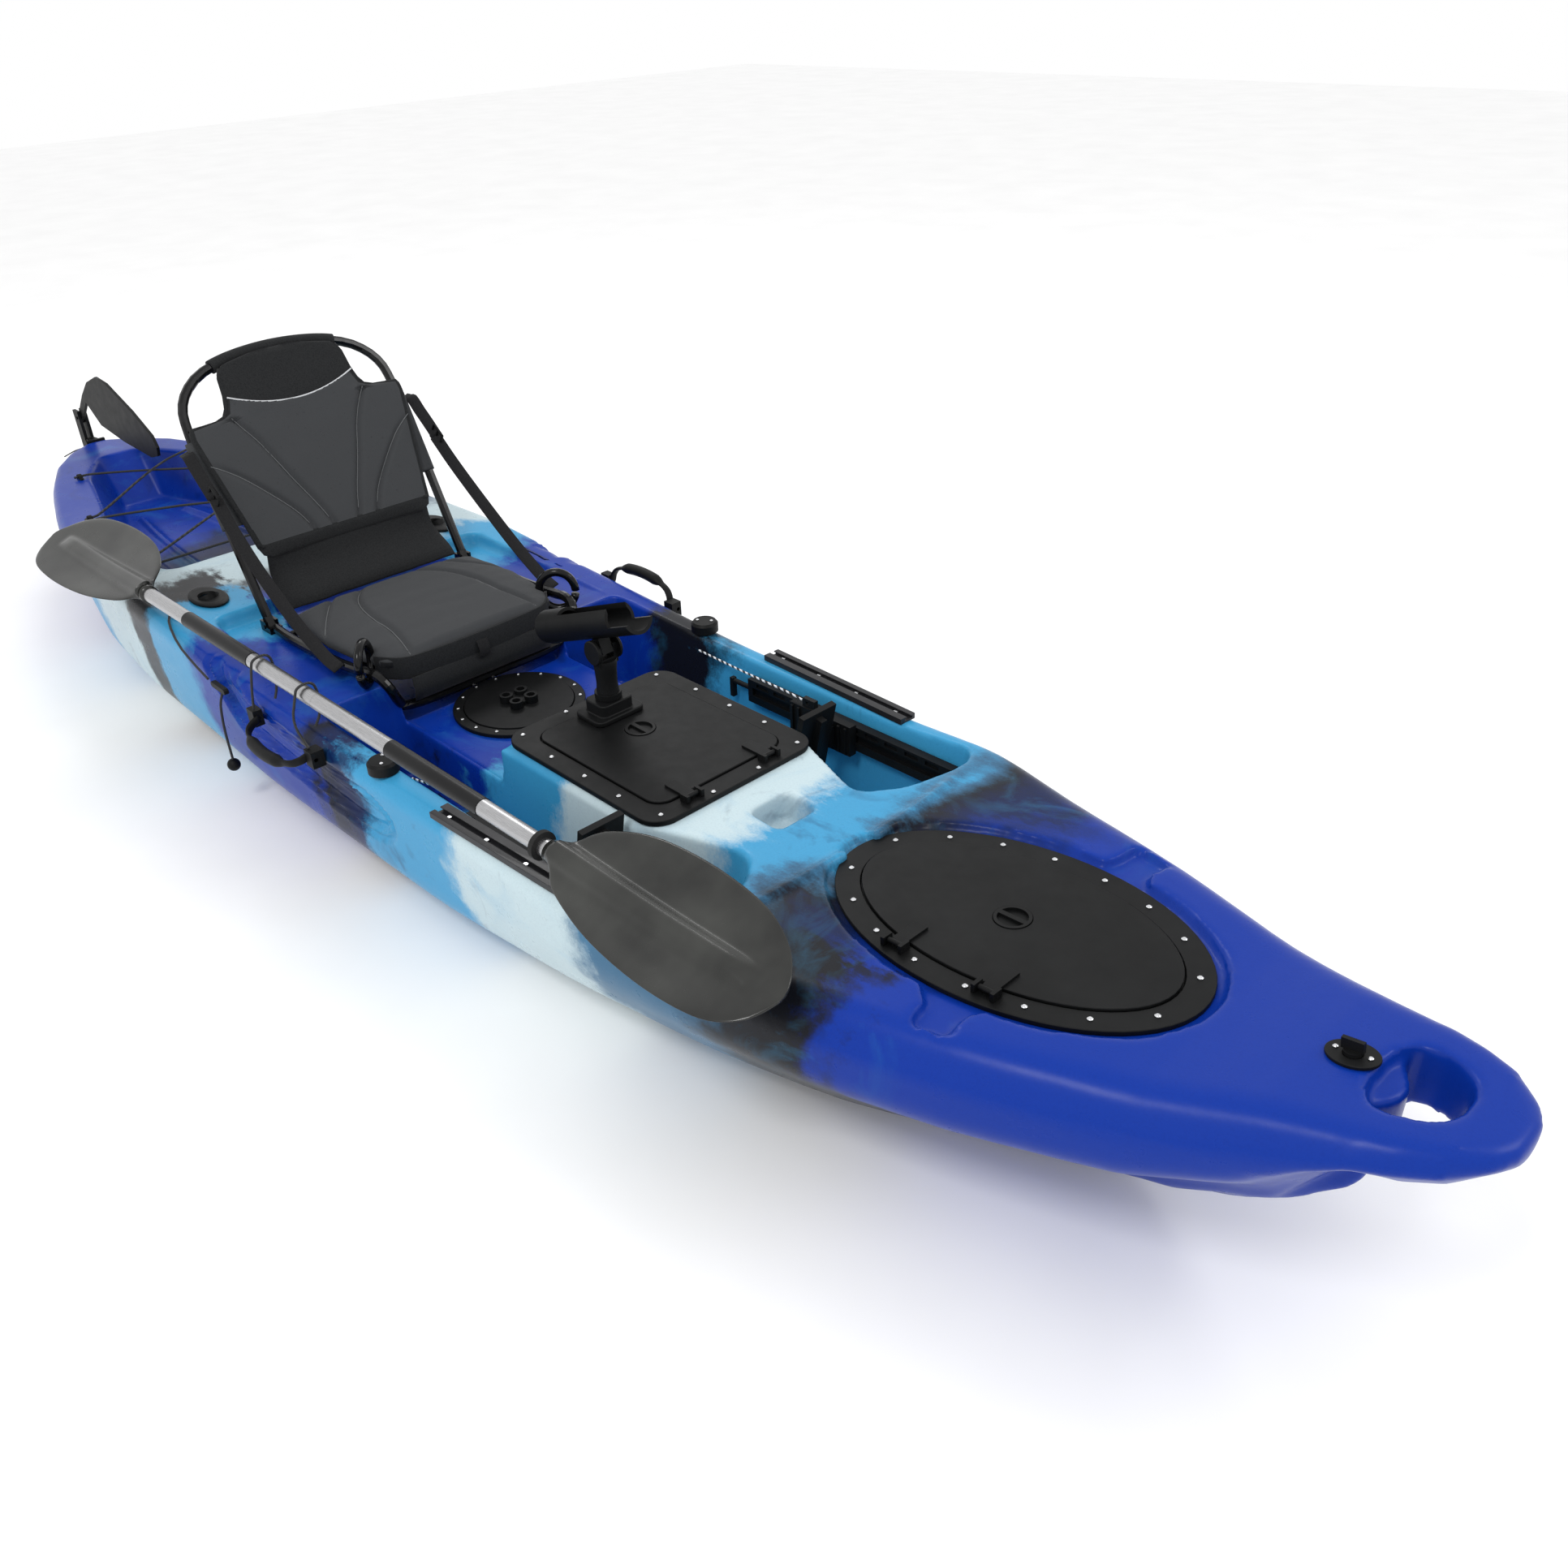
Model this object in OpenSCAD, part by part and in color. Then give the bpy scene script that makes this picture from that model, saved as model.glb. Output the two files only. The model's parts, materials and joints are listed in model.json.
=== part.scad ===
// Sit-on-top fishing kayak: moulded hull, two hatches, framed seat, foot braces, rudder and paddle.
// Frame: +X towards the bow, +Y to port, +Z up, origin on the flat bottom amidships.

/* [Hull] */
// Length of the moulded hull
hull_len = 3900; // [3860:5:3940]
// Widest beam over the gunwales
hull_beam = 820; // [800:2:840]
// Thickness of the moulded wall
hull_wall = 5; // [4:0.5:6]
// Height of the footwell floor
footwell_floor = 110; // [90:2:130]
// Height of the seat well floor
seat_floor = 205; // [190:1:208]
// Height of the tank well floor
tank_floor = 195; // [180:2:210]

/* [Bow hatch] */
// Centre of the bow hatch along the hull
bow_hatch_x = 1295; // [1290:1:1300]
// Upward pitch of the bow deck
bow_pitch = 3.06; // [2.9:0.02:3.2]
// Half length of the hatch frame
bow_half_len = 286; // [280:1:290]
// Half width of the hatch frame
bow_half_wid = 178; // [172:1:182]

/* [Console] */
// Aft edge of the console frame
console_aft = 345; // [340:1:350]
// Forward edge of the console frame
console_fore = 757; // [752:1:762]
// Half width of the console frame
console_half = 181; // [176:1:182]
// Height of the top of the console pedestal
console_z = 300; // [298:1:302]

/* [Day hatch] */
// Centre of the day hatch along the hull
day_x = 124; // [122:1:128]
// Outer radius of the day hatch frame
day_r = 128; // [120:1:130]
// Height of the day hatch shelf
day_z = 217; // [214:1:220]

/* [Seat] */
// Lean of the backrest from upright
back_lean = 26.5; // [22:0.5:30]
// Radius of the seat frame tube
tube_r = 10; // [8:0.5:11]
// Half distance between the side tubes
seat_half = 235; // [230:1:240]

/* [Rod holders] */
// Bore radius of the flush rod holders
rod_bore = 20; // [18:0.5:21]
// Depth of the flush rod holders
rod_depth = 190; // [150:5:200]
// Backward tilt of the flush rod holders
rod_tilt = 30; // [20:1:35]

/* [Paddle] */
// Length of the paddle over both blades
paddle_len = 2210; // [2200:5:2220]
// Outer radius of the shaft
shaft_r = 14.5; // [14:0.1:15]
// Roll of the blades about the shaft
blade_roll = 22; // [15:1:28]

/* [Rudder] */
// Distance of the steering axis behind the middle
rudder_x = 1985; // [1980:1:1990]
// Thickness of the rudder blade
blade_t = 8; // [6:0.5:9]

/* [Hidden] */
$fn = 48;
len_scale = hull_len / 3900;
half_beam = hull_beam / 2;
gap = 0.3;

// Lines plan: station, then beam and chine as fractions of the half beam, keel and sheer heights.
beam_line = [
    [-1950, 0.10], [-1900, 0.25], [-1800, 0.42], [-1650, 0.58], [-1400, 0.77], [-1100, 0.90],
    [-800, 0.975], [-500, 1.0], [-200, 1.0], [100, 0.98], [300, 0.96], [400, 0.95], [700, 0.95],
    [800, 0.94], [1000, 0.905],
    [1200, 0.825], [1400, 0.70], [1600, 0.53], [1720, 0.42], [1780, 0.37], [1820, 0.335],
    [1860, 0.295], [1900, 0.24], [1935, 0.155], [1950, 0.08]
];
chine_line = [
    [-1950, 0.02], [-1900, 0.09], [-1800, 0.22], [-1650, 0.42], [-1400, 0.68], [-1100, 0.87],
    [-800, 0.94], [-200, 0.97], [400, 0.93], [700, 0.84], [1000, 0.70], [1200, 0.55], [1400, 0.33],
    [1600, 0.13], [1720, 0.12], [1820, 0.20], [1860, 0.21], [1900, 0.16], [1950, 0.04]
];
keel_line = [
    [-1950, 255], [-1900, 180], [-1800, 95], [-1650, 35], [-1400, 0], [1200, 0], [1400, 12],
    [1600, 50], [1720, 125], [1780, 235], [1820, 300], [1860, 325], [1900, 340], [1950, 366]
];
sheer_line = [
    [-1950, 318], [-1800, 320], [-1400, 314], [-800, 325], [-500, 325], [-200, 305], [100, 295],
    [300, 290], [800, 290], [1000, 310], [1600, 342], [1720, 368], [1820, 384],
    [1860, 388], [1900, 391], [1950, 388]
];
stations = [for (p = beam_line) p[0]];

// Bow hatch: frame top plane, clear hole and lid sizes.
bow_top_z = 320;
bow_lid_l = bow_half_len - 40;
bow_lid_w = bow_half_wid - 40;
bow_hole_l = bow_half_len - 58;
bow_hole_w = bow_half_wid - 56;
bow_hinge_y = bow_half_wid - 28;
bow_hinge_gap = 151;
// Console: lid and hole.
console_mid = (console_aft + console_fore) / 2;
console_len = console_fore - console_aft;
rim_w = 41;
lid_l = console_len - 2 * rim_w;
lid_w = 2 * (console_half - rim_w);
console_hinge_x = 735;
console_hinge_y = 85;
rod_stand_x = 420;
// Day hatch lid and hole.
day_lid_r = day_r - 22;
day_hole_r = day_r - 36;
// Gear tracks.
track_aft = 445;
track_len = 358;
track_y = 375;
track_toe = 2.5;
// Foot braces.
rail_aft = 445;
rail_len = 495;
rail_y = 309;
rail_z = 245;
carrier_x = 650;
// Carry handles.
handle_aft = -116;
handle_fore = 105;
handle_y = 419;
handle_z = 276;
handle_reach = 46;
port_raise = 80;
starboard_droop = -20;
// Flush rod holders.
rod_x = -589;
rod_y = 280;
rod_wall = 3;
// Seat joints.
seat_foot_x = -405;
seat_rail_z = 306;
// Paddle axis: the near blade's tip, then the turn of the shaft.
paddle_tip = [1204, -346, 340];
paddle_yaw = 182.02;
paddle_dip = -1.66;
blade_len = 440;
ferrule = 1105;
// Rudder.
flip_x = -2012;
flip_z = 376;

// Cord routes.
port_steer_route = [
    [284, 329, 268], [330, 322, 272], [400, 312, 278], [480, 304, 283], [560, 300, 286], [601, 299, 284]
];
toggle_route = [
    [-262, -417, 270], [-266, -424, 250], [-270, -426, 225], [-276, -426, 200], [-282, -425, 170],
    [-288, -423, 140], [-294, -421, 112]
];
// Pad eyes round the tank well, port side; the third number is the deck under them.
aft_eye = [-1640, 160, 318.4];
mid_eye = [-1300, 262, 316.6];
front_eye = [-850, 318, 324.9];
eye_hole = 6.3;
side_cord_route = [
    [-560, -376, 331], [-520, -396, 330], [-440, -415, 316], [-360, -422, 304], [-302, -422, 290]
];
rudder_line_route = [
    [-1983, 38, 298], [-1948, 66, 306], [-1905, 98, 312], [-1860, 120, 322]
];

// Corner cutting: each pass replaces every inner corner with two points.
function cut_once(p) = concat(
    [p[0]],
    [for (i = [0 : len(p) - 2]) each [0.75 * p[i] + 0.25 * p[i + 1], 0.25 * p[i] + 0.75 * p[i + 1]]],
    [p[len(p) - 1]]
);
function cut_corners(p, passes) = passes == 0 ? p : cut_corners(cut_once(p), passes - 1);
function flip(p) = [for (i = [len(p) - 1 : -1 : 0]) p[i]];

// Cord at a pad eye: out through the hole, round, and back inboard on the side turn points to.
function eye_turn(eye, s, turn) = [
    [eye[0], s * (eye[1] - 26), eye[2] + eye_hole + 2],
    [eye[0], s * (eye[1] - 8), eye[2] + eye_hole],
    [eye[0], s * (eye[1] + 13), eye[2] + eye_hole],
    [eye[0] + turn * 24, s * (eye[1] + 13), eye[2] + eye_hole],
    [eye[0] + turn * 24, s * (eye[1] - 26), eye[2] + eye_hole + 2]
];

// Half of the crossed cord, from one aft eye to the front eye on the same side.
function tank_half(s, lift) = concat(
    [
        [aft_eye[0], s * (aft_eye[1] + 14), aft_eye[2] + eye_hole],
        [aft_eye[0], s * (aft_eye[1] - 8), aft_eye[2] + eye_hole],
        [aft_eye[0] + 8, s * (aft_eye[1] - 26), aft_eye[2] + eye_hole + 2],
        [-1511, 0, 331 + lift]
    ],
    eye_turn(mid_eye, -s, 1),
    [[-1097, 0, 333 + lift]],
    flip(eye_turn(front_eye, s, -1))
);
tank_route = concat(tank_half(-1, 0), [[-846, 0, 336]], flip(tank_half(1, 13)));

function unit(v) = v / norm(v);
function heading(p, i) = unit(p[min(i + 1, len(p) - 1)] - p[max(i - 1, 0)]);

// A round tube swept along points; side is a direction that the route never follows.
module sweep(p, r, side, sides = 8) {
    n = len(p);
    rings = [
        for (i = [0 : n - 1])
            let (t = heading(p, i), a = unit(cross(t, side)), b = cross(t, a))
                for (k = [0 : sides - 1]) p[i] + r * (cos(360 * k / sides) * a + sin(360 * k / sides) * b)
    ];
    walls = [
        for (i = [0 : n - 2], k = [0 : sides - 1])
            [
                i * sides + k,
                (i + 1) * sides + k,
                (i + 1) * sides + (k + 1) % sides,
                i * sides + (k + 1) % sides
            ]
    ];
    cap_a = [[for (k = [0 : sides - 1]) k]];
    cap_b = [[for (k = [sides - 1 : -1 : 0]) (n - 1) * sides + k]];
    polyhedron(rings, concat(walls, cap_a, cap_b), convexity = 6);
}

function oval(a, b, n = 64) = [for (k = [0 : n - 1]) [a * cos(360 * k / n), b * sin(360 * k / n)]];

module slab(l, w, r, h) {
    linear_extrude(h)
    union() {
        square([l - 2 * r, w], center = true);
        square([l, w - 2 * r], center = true);
        for (sx = [-1, 1], sy = [-1, 1])
            translate([sx * (l / 2 - r), sy * (w / 2 - r)])
            circle(r);
    }
}

module both_sides() {
    children();
    mirror([0, 1, 0])
    children();
}

// Pan head screw that stands on z = 0.
module screw_head(r = 4) {
    cylinder(h = 1.2, r = r);
    translate([0, 0, 1.2])
    cylinder(h = 1.1, r1 = r, r2 = r * 0.6);
}

// ---- Hull ----

module section(x, inset) {
    w = lookup(x, beam_line) * half_beam - inset;
    c = lookup(x, chine_line) * half_beam * 0.98 - inset;
    low = lookup(x, keel_line) + inset;
    top = lookup(x, sheer_line) - inset;
    h = top - low;
    half = [
        [max(c, 1) * 0.6, low],
        [max(c, 2), low + 0.2 * h],
        [w * 0.985, low + 0.62 * h],
        [w, top - 22],
        [max(w - 14, 1), top]
    ];
    translate([x * len_scale, 0, 0])
    rotate([90, 0, 90])
    linear_extrude(0.1)
    polygon(concat(half, [for (i = [len(half) - 1 : -1 : 0]) [-half[i][0], half[i][1]]]));
}

module hull_body(inset, first, last) {
    for (i = [first : last - 1])
        hull() {
            section(stations[i], inset);
            section(stations[i + 1], inset);
        }
}

module well(top, bottom, floor_z, e) {
    hull() {
        translate([0, 0, floor_z - e])
        linear_extrude(1)
        offset(delta = e)
        polygon(bottom);
        translate([0, 0, 330])
        linear_extrude(170)
        offset(delta = e)
        polygon(top);
    }
}

module footwell(e) {
    well(
        [[-10, 186], [757, 184], [757, 343], [-10, 350]],
        [[25, 196], [740, 198], [740, 316], [25, 322]],
        footwell_floor, e
    );
    well(
        [[700, 186], [905, 112], [955, 165], [985, 290], [960, 343], [700, 343]],
        [[700, 198], [850, 150], [915, 190], [955, 270], [945, 318], [700, 316]],
        footwell_floor, e
    );
}

module bow_place() {
    translate([bow_hatch_x, 0, bow_top_z])
    rotate([0, -bow_pitch, 0])
    children();
}

module rod_place() {
    translate([rod_x, rod_y, 328])
    rotate([0, -rod_tilt, 0])
    children();
}

module all_wells(e) {
    both_sides()
    footwell(e);
    // Ledge that carries the seat frame, and the well under it.
    well(
        [[-490, -322], [-5, -345], [-5, 345], [-490, 322]],
        [[-480, -315], [-5, -340], [-5, 340], [-480, 315]],
        seat_rail_z - tube_r - 1, e
    );
    well(
        [[-440, -205], [10, -205], [10, 205], [-440, 205]],
        [[-415, -190], [10, -190], [10, 190], [-415, 190]],
        seat_floor, e
    );
    // Shelf of the day hatch.
    well(
        [[0, -190], [console_aft, -190], [console_aft, 190], [0, 190]],
        [[0, -190], [console_aft, -190], [console_aft, 190], [0, 190]],
        day_z, e
    );
    // Tank well.
    well(
        [[-1790, -55], [-1650, -140], [-1300, -232], [-900, -285], [-810, -270],
         [-810, 270], [-900, 285], [-1300, 232], [-1650, 140], [-1790, 55]],
        [[-1700, -60], [-1300, -190], [-900, -250], [-840, -240],
         [-840, 240], [-900, 250], [-1300, 190], [-1700, 60]],
        tank_floor, e
    );
    // Cup ahead of the console.
    well(
        [[818, -42], [882, -50], [882, 50], [818, 42]],
        [[826, -34], [876, -40], [876, 40], [826, 34]],
        258, e
    );
    // Shallow recess round the bow hatch.
    bow_place()
    translate([0, 0, -8 - gap - e])
    linear_extrude(80)
    polygon(oval(bow_half_len + 14 + e, bow_half_wid + 14 + e, 48));
}

module bow_handle_hole() {
    translate([1826, 0, 100])
    hull()
    for (sy = [-1, 1])
        translate([0, sy * 22, 0]) {
            cylinder(h = 500, r = 30, $fn = 24);
            translate([16, 0, 0])
            cylinder(h = 500, r = 30, $fn = 24);
        }
}

module pedestal(inset) {
    translate([console_aft + inset, -178 + inset, 200])
    cube([905 - console_aft - 2 * inset, 356 - 2 * inset, console_z - 200 - inset]);
}

module hull_shell() {
    color("#1f3fbf")
    difference() {
        union() {
            difference() {
                hull_body(0, 0, len(stations) - 1);
                all_wells(0);
            }
            difference() {
                pedestal(0);
                both_sides()
                footwell(0);
                translate([826, -40, 258])
                cube([50, 80, 90]);
            }
        }
        difference() {
            union() {
                hull_body(hull_wall, 1, len(stations) - 6);
                pedestal(hull_wall);
            }
            difference() {
                all_wells(hull_wall);
                translate([console_aft + hull_wall, -170, 150])
                cube([440, 340, console_z - 150 - hull_wall]);
            }
            both_sides()
            footwell(hull_wall);
        }
        bow_handle_hole();
        bow_place()
        translate([0, 0, -60])
        linear_extrude(120)
        polygon(oval(bow_hole_l, bow_hole_w, 48));
        translate([console_mid, 0, console_z - 20])
        slab(lid_l - 30, lid_w - 30, 20, 60);
        translate([day_x, 0, day_z - 20])
        cylinder(h = 60, r = day_hole_r);
        both_sides()
        rod_place()
        translate([0, 0, -60])
        cylinder(h = 90, r = rod_bore + rod_wall + 1);
    }
}

module keel_skid() {
    color("#1a36a8")
    translate([0, 10, 0])
    rotate([90, 0, 0])
    linear_extrude(20)
    polygon([
        [1620, 61.5], [1720, 124], [1780, 234], [1803, 271], [1804, 215], [1792, 190], [1740, 120],
        [1680, 78], [1632, 60]
    ]);
}

// ---- Bow hatch ----

module bow_hatch_frame() {
    color("#141414")
    bow_place()
    difference() {
        translate([0, 0, -8])
        linear_extrude(8)
        polygon(oval(bow_half_len, bow_half_wid));
        translate([0, 0, -9])
        linear_extrude(10)
        polygon(oval(bow_hole_l, bow_hole_w));
        translate([0, 0, -5])
        linear_extrude(6)
        polygon(oval(bow_lid_l + 2, bow_lid_w + 2));
    }
}

module bow_hatch_seal() {
    color("#202020")
    bow_place()
    translate([0, 0, -5])
    linear_extrude(2)
    difference() {
        polygon(oval(bow_lid_l - 4, bow_lid_w - 4));
        polygon(oval(bow_lid_l - 12, bow_lid_w - 12));
    }
}

module bow_hatch_lid() {
    color("#171717")
    bow_place() {
        translate([0, 0, -2.7])
        linear_extrude(5.7)
        difference() {
            polygon(oval(bow_lid_l, bow_lid_w));
            circle(r = 27);
        }
        translate([0, 0, -14])
        linear_extrude(11.4)
        difference() {
            polygon(oval(bow_hole_l - 4, bow_hole_w - 4));
            polygon(oval(bow_hole_l - 8, bow_hole_w - 8));
        }
    }
}

module bow_hatch_hinges() {
    color("#101010")
    bow_place()
    for (s = [-0.5, 0.5])
        translate([s * bow_hinge_gap - 4, -bow_hinge_y, 0])
        for (e = [-18, 12])
            translate([e, -9, 0.1])
            difference() {
                cube([6, 18, 13]);
                translate([-1, 9, 7])
                rotate([0, 90, 0])
                cylinder(h = 8, r = 2.6);
            }
}

module bow_hatch_straps() {
    color("#1b1b1b")
    bow_place()
    for (s = [-0.5, 0.5])
        translate([s * bow_hinge_gap - 4, -bow_hinge_y, 0]) {
            translate([-11, 3, 3.1])
            cube([22, 52, 4]);
            translate([-18, 0, 7.1])
            rotate([0, 90, 0])
            cylinder(h = 36, r = 2.5);
            translate([-11, 0, 7.1])
            rotate([0, 90, 0])
            cylinder(h = 22, r = 4);
        }
}

module round_latch(r) {
    difference() {
        cylinder(h = 9, r = r);
        translate([0, 0, 4])
        difference() {
            cylinder(h = 6, r = r - 5);
            translate([-r, -4, -1])
            cube([2 * r, 8, 6.5]);
        }
    }
    translate([0, 0, -10])
    cylinder(h = 10.5, r = 8);
    translate([-6, -6, -18])
    cube([46, 12, 8]);
}

module bow_hatch_latch() {
    color("#0e0e0e")
    bow_place()
    translate([0, 0, -5])
    round_latch(26.5);
}

module bow_hatch_screws() {
    color("#d8d8d8")
    bow_place()
    for (dx = [42, 122, 195, 252], sx = [-1, 1], sy = [-1, 1])
        translate([sx * dx, sy * 157 * sqrt(1 - pow(dx / 265, 2)), gap])
        screw_head();
}

// ---- Console hatch ----

module console_frame() {
    color("#141414")
    translate([console_mid, 0, console_z + gap])
    difference() {
        slab(console_len, 2 * console_half, 42, 10 - gap);
        translate([0, 0, -1])
        slab(lid_l - 30, lid_w - 30, 20, 20);
        translate([0, 0, 4])
        slab(lid_l + 4, lid_w + 4, 32, 20);
    }
}

module console_seal() {
    color("#202020")
    translate([console_mid, 0, console_z + 4.4])
    difference() {
        slab(lid_l - 6, lid_w - 6, 27, 2);
        translate([0, 0, -1])
        slab(lid_l - 22, lid_w - 22, 22, 4);
    }
}

module console_lid() {
    color("#171717")
    translate([console_mid, 0, console_z]) {
        translate([0, 0, 6.7])
        difference() {
            slab(lid_l, lid_w, 30, 6);
            translate([503 - console_mid, 0, -1])
            cylinder(h = 10, r = 27);
        }
        translate([0, 0, -6])
        difference() {
            slab(lid_l - 34, lid_w - 34, 18, 12.8);
            translate([0, 0, -1])
            slab(lid_l - 42, lid_w - 42, 14, 15);
        }
    }
}

module console_hinges() {
    color("#101010")
    for (sy = [-1, 1])
        for (e = [-18, 12])
            translate([console_hinge_x - 9, sy * console_hinge_y + e, console_z + 10.1])
            difference() {
                cube([18, 6, 13]);
                translate([9, -1, 7])
                rotate([-90, 0, 0])
                cylinder(h = 8, r = 2.6);
            }
}

module console_straps() {
    color("#1b1b1b")
    for (sy = [-1, 1])
        translate([console_hinge_x, sy * console_hinge_y, console_z + 13]) {
            translate([-55, -11, 0])
            cube([52, 22, 4]);
            translate([0, -18, 4.1])
            rotate([-90, 0, 0])
            cylinder(h = 36, r = 2.5);
            translate([0, -11, 4.1])
            rotate([-90, 0, 0])
            cylinder(h = 22, r = 4);
        }
}

module console_latch() {
    color("#0e0e0e")
    translate([503, 0, console_z + 5])
    round_latch(26.5);
}

module console_screws() {
    color("#d8d8d8")
    translate([0, 0, console_z + 10 + gap]) {
        for (x = [367, 465, 555, 644, 735], sy = [-1, 1])
            translate([x, sy * (x < 400 || x > 700 ? 151 : 162), 0])
            screw_head();
        for (x = [356, 746], y = [-50, 50])
            translate([x, y, 0])
            screw_head();
    }
}

// ---- Day hatch ----

module day_hatch_frame() {
    color("#141414")
    translate([day_x, 0, day_z + gap])
    difference() {
        cylinder(h = 8, r = day_r);
        translate([0, 0, -1])
        cylinder(h = 10, r = day_hole_r);
        translate([0, 0, 4])
        cylinder(h = 10, r = day_lid_r + 1);
    }
}

module day_hatch_lid() {
    color("#171717")
    translate([day_x, 0, day_z + 4.6])
    difference() {
        cylinder(h = 6, r = day_lid_r);
        translate([0, 0, -1])
        cylinder(h = 8, r = 9);
    }
}

module day_hatch_knob() {
    color("#0e0e0e")
    translate([day_x, 0, day_z + 11]) {
        translate([0, 0, -10])
        cylinder(h = 11, r = 8.5);
        difference() {
            union() {
                cylinder(h = 6, r = 20);
                for (a = [45 : 90 : 315])
                    rotate([0, 0, a])
                    translate([24, 0, 0])
                    cylinder(h = 14, r = 13);
            }
            for (a = [45 : 90 : 315])
                rotate([0, 0, a])
                translate([24, 0, 5])
                cylinder(h = 14, r = 8);
        }
        translate([-6, -25, -14])
        cube([12, 50, 5]);
    }
}

module day_hatch_screws() {
    color("#d8d8d8")
    translate([day_x, 0, day_z + 8 + 2 * gap])
    for (k = [0 : 15])
        rotate([0, 0, 360 * (k + 0.5) / 16])
        translate([day_r - 10, 0, 0])
        screw_head(3.5);
}

// ---- Rod holder on the console lid ----

module rod_holder_base() {
    color("#161616")
    translate([rod_stand_x, 0, console_z + 13]) {
        slab(74, 104, 14, 10);
        translate([0, 0, 9.9])
        difference() {
            slab(56, 70, 12, 22);
            translate([0, 0, 6])
            cylinder(h = 20, r = 15.1);
        }
    }
}

module rod_holder_stem() {
    color("#161616")
    translate([rod_stand_x, 0, console_z + 29.2]) {
        cylinder(h = 82, r = 15);
        translate([0, 0, 18])
        cylinder(h = 10, r = 24);
        translate([-12, -21, 82])
        difference() {
            cube([24, 42, 36]);
            translate([-1, 9, 12])
            cube([34, 24, 30]);
            translate([12, -1, 27])
            rotate([-90, 0, 0])
            cylinder(h = 44, r = 4.1);
        }
    }
}

// The cradle turns about the clevis bolt; it stands 21 degrees up towards the bow.
module rod_holder_cradle() {
    color("#121212")
    translate([rod_stand_x, 0, console_z + 138.2]) {
        translate([0, -24, 0])
        rotate([-90, 0, 0])
        cylinder(h = 48, r = 4);
        rotate([0, -21, 0]) {
            translate([-11, -11.5, -9])
            cube([22, 23, 29]);
            translate([-150, 0, 49])
            rotate([0, 90, 0])
            difference() {
                cylinder(h = 280, r = 30);
                translate([0, 0, 8])
                cylinder(h = 300, r = 24);
                translate([-40, -20, 70])
                cube([40, 40, 170]);
                translate([-40, -40, 228])
                cube([48, 80, 60]);
            }
        }
    }
}

// ---- Gunwale fittings ----

module gear_tracks() {
    color("#18191b")
    both_sides()
    translate([track_aft, track_y, 290.5])
    rotate([0, 0, -track_toe])
    rotate([90, 0, 90])
    linear_extrude(track_len)
    difference() {
        translate([-20, 0])
        square([36, 11]);
        translate([-9, 4])
        square([18, 4.5]);
        translate([-5, 8])
        square([10, 4]);
    }
}

module gunwale_caps() {
    color("#1a1a1a")
    both_sides()
    translate([262, 366, 292.2]) {
        cylinder(h = 16, r = 27);
        translate([0, 0, 15.9])
        cylinder(h = 5, r1 = 27, r2 = 23);
    }
}

module drain_place() {
    translate([1758, 0, 374.6])
    rotate([0, -9.1, 0])
    children();
}

module deck_screws() {
    color("#d8d8d8")
    both_sides() {
        for (x = [32, 130, 228, 326])
            translate([track_aft, track_y, 295])
            rotate([0, 0, -track_toe])
            translate([x, 0, 0])
            cylinder(h = 3, r = 4);
        for (s = [-1, 1])
            translate([262 + 12 * s, 366 + 8 * s, 313.3])
            screw_head(3.2);
    }
    for (x = [-20, 20])
        drain_place()
        translate([x, 0, 4.8])
        screw_head(3.2);
}

module handle_bases() {
    color("#121212")
    both_sides()
    for (x = [handle_aft, handle_fore])
        let (side_y = lookup(x - 13, beam_line) * half_beam + 0.4)
        translate([x - 13, side_y, handle_z - 16])
        difference() {
            cube([26, handle_y + 8 - side_y, 32]);
            translate([-1, handle_y - side_y, 16])
            rotate([0, 90, 0])
            cylinder(h = 28, r = 4.1);
        }
}

// Carry handle at its own pivot: a bar held out on two webbing ends.
module carry_handle(raise) {
    rise = handle_reach;
    from = handle_aft + 16;
    to = handle_fore - 16;
    translate([0, handle_y, handle_z])
    rotate([raise, 0, 0]) {
        for (x = [from - 12, to - 24])
            translate([x, 0, 0])
            rotate([0, 90, 0])
            cylinder(h = 36, r = 4);
        for (x = [from, to - 10])
            translate([x, -3, -3])
            cube([10, rise, 6]);
        translate([from, rise, 0])
        rotate([0, 90, 0])
        cylinder(h = to - from, r = 8);
        translate([from + 28, rise, 0])
        rotate([0, 90, 0])
        cylinder(h = to - from - 56, r = 14);
    }
}

module carry_handle_port() {
    color("#101010")
    carry_handle(port_raise);
}

module carry_handle_starboard() {
    color("#101010")
    mirror([0, 1, 0])
    carry_handle(starboard_droop);
}

module flush_rod_holders() {
    color("#131313")
    both_sides()
    rod_place()
    difference() {
        union() {
            translate([0, 0, -rod_depth])
            cylinder(h = rod_depth + 4, r = rod_bore + rod_wall);
            translate([0, 0, 0.8])
            rotate([0, rod_tilt, 0])
            translate([0, 0, -1])
            linear_extrude(5)
            polygon(oval(50, 31));
        }
        translate([0, 0, -rod_depth + 4])
        cylinder(h = rod_depth + 60, r = rod_bore);
        translate([0, 0, -rod_depth - 1])
        cylinder(h = 8, r = 5);
    }
}

module pad_eye() {
    translate([-16, -5, 0])
    cube([32, 10, 3]);
    translate([0, 5, 2])
    rotate([90, 0, 0])
    difference() {
        cylinder(h = 10, r = 11);
        translate([0, 3, -1])
        cylinder(h = 12, r = 5.5);
        translate([-20, -20, -1])
        cube([40, 20, 12]);
    }
}

module pad_eyes() {
    color("#101010") {
        both_sides() {
            for (eye = [aft_eye, mid_eye, front_eye])
                translate(eye)
                pad_eye();
        }
        translate([-560, -366, 325.8])
        pad_eye();
        translate([-270, -410.5, 280])
        rotate([90, 0, 0])
        slab(60, 12, 5.5, 10);
    }
}

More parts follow.
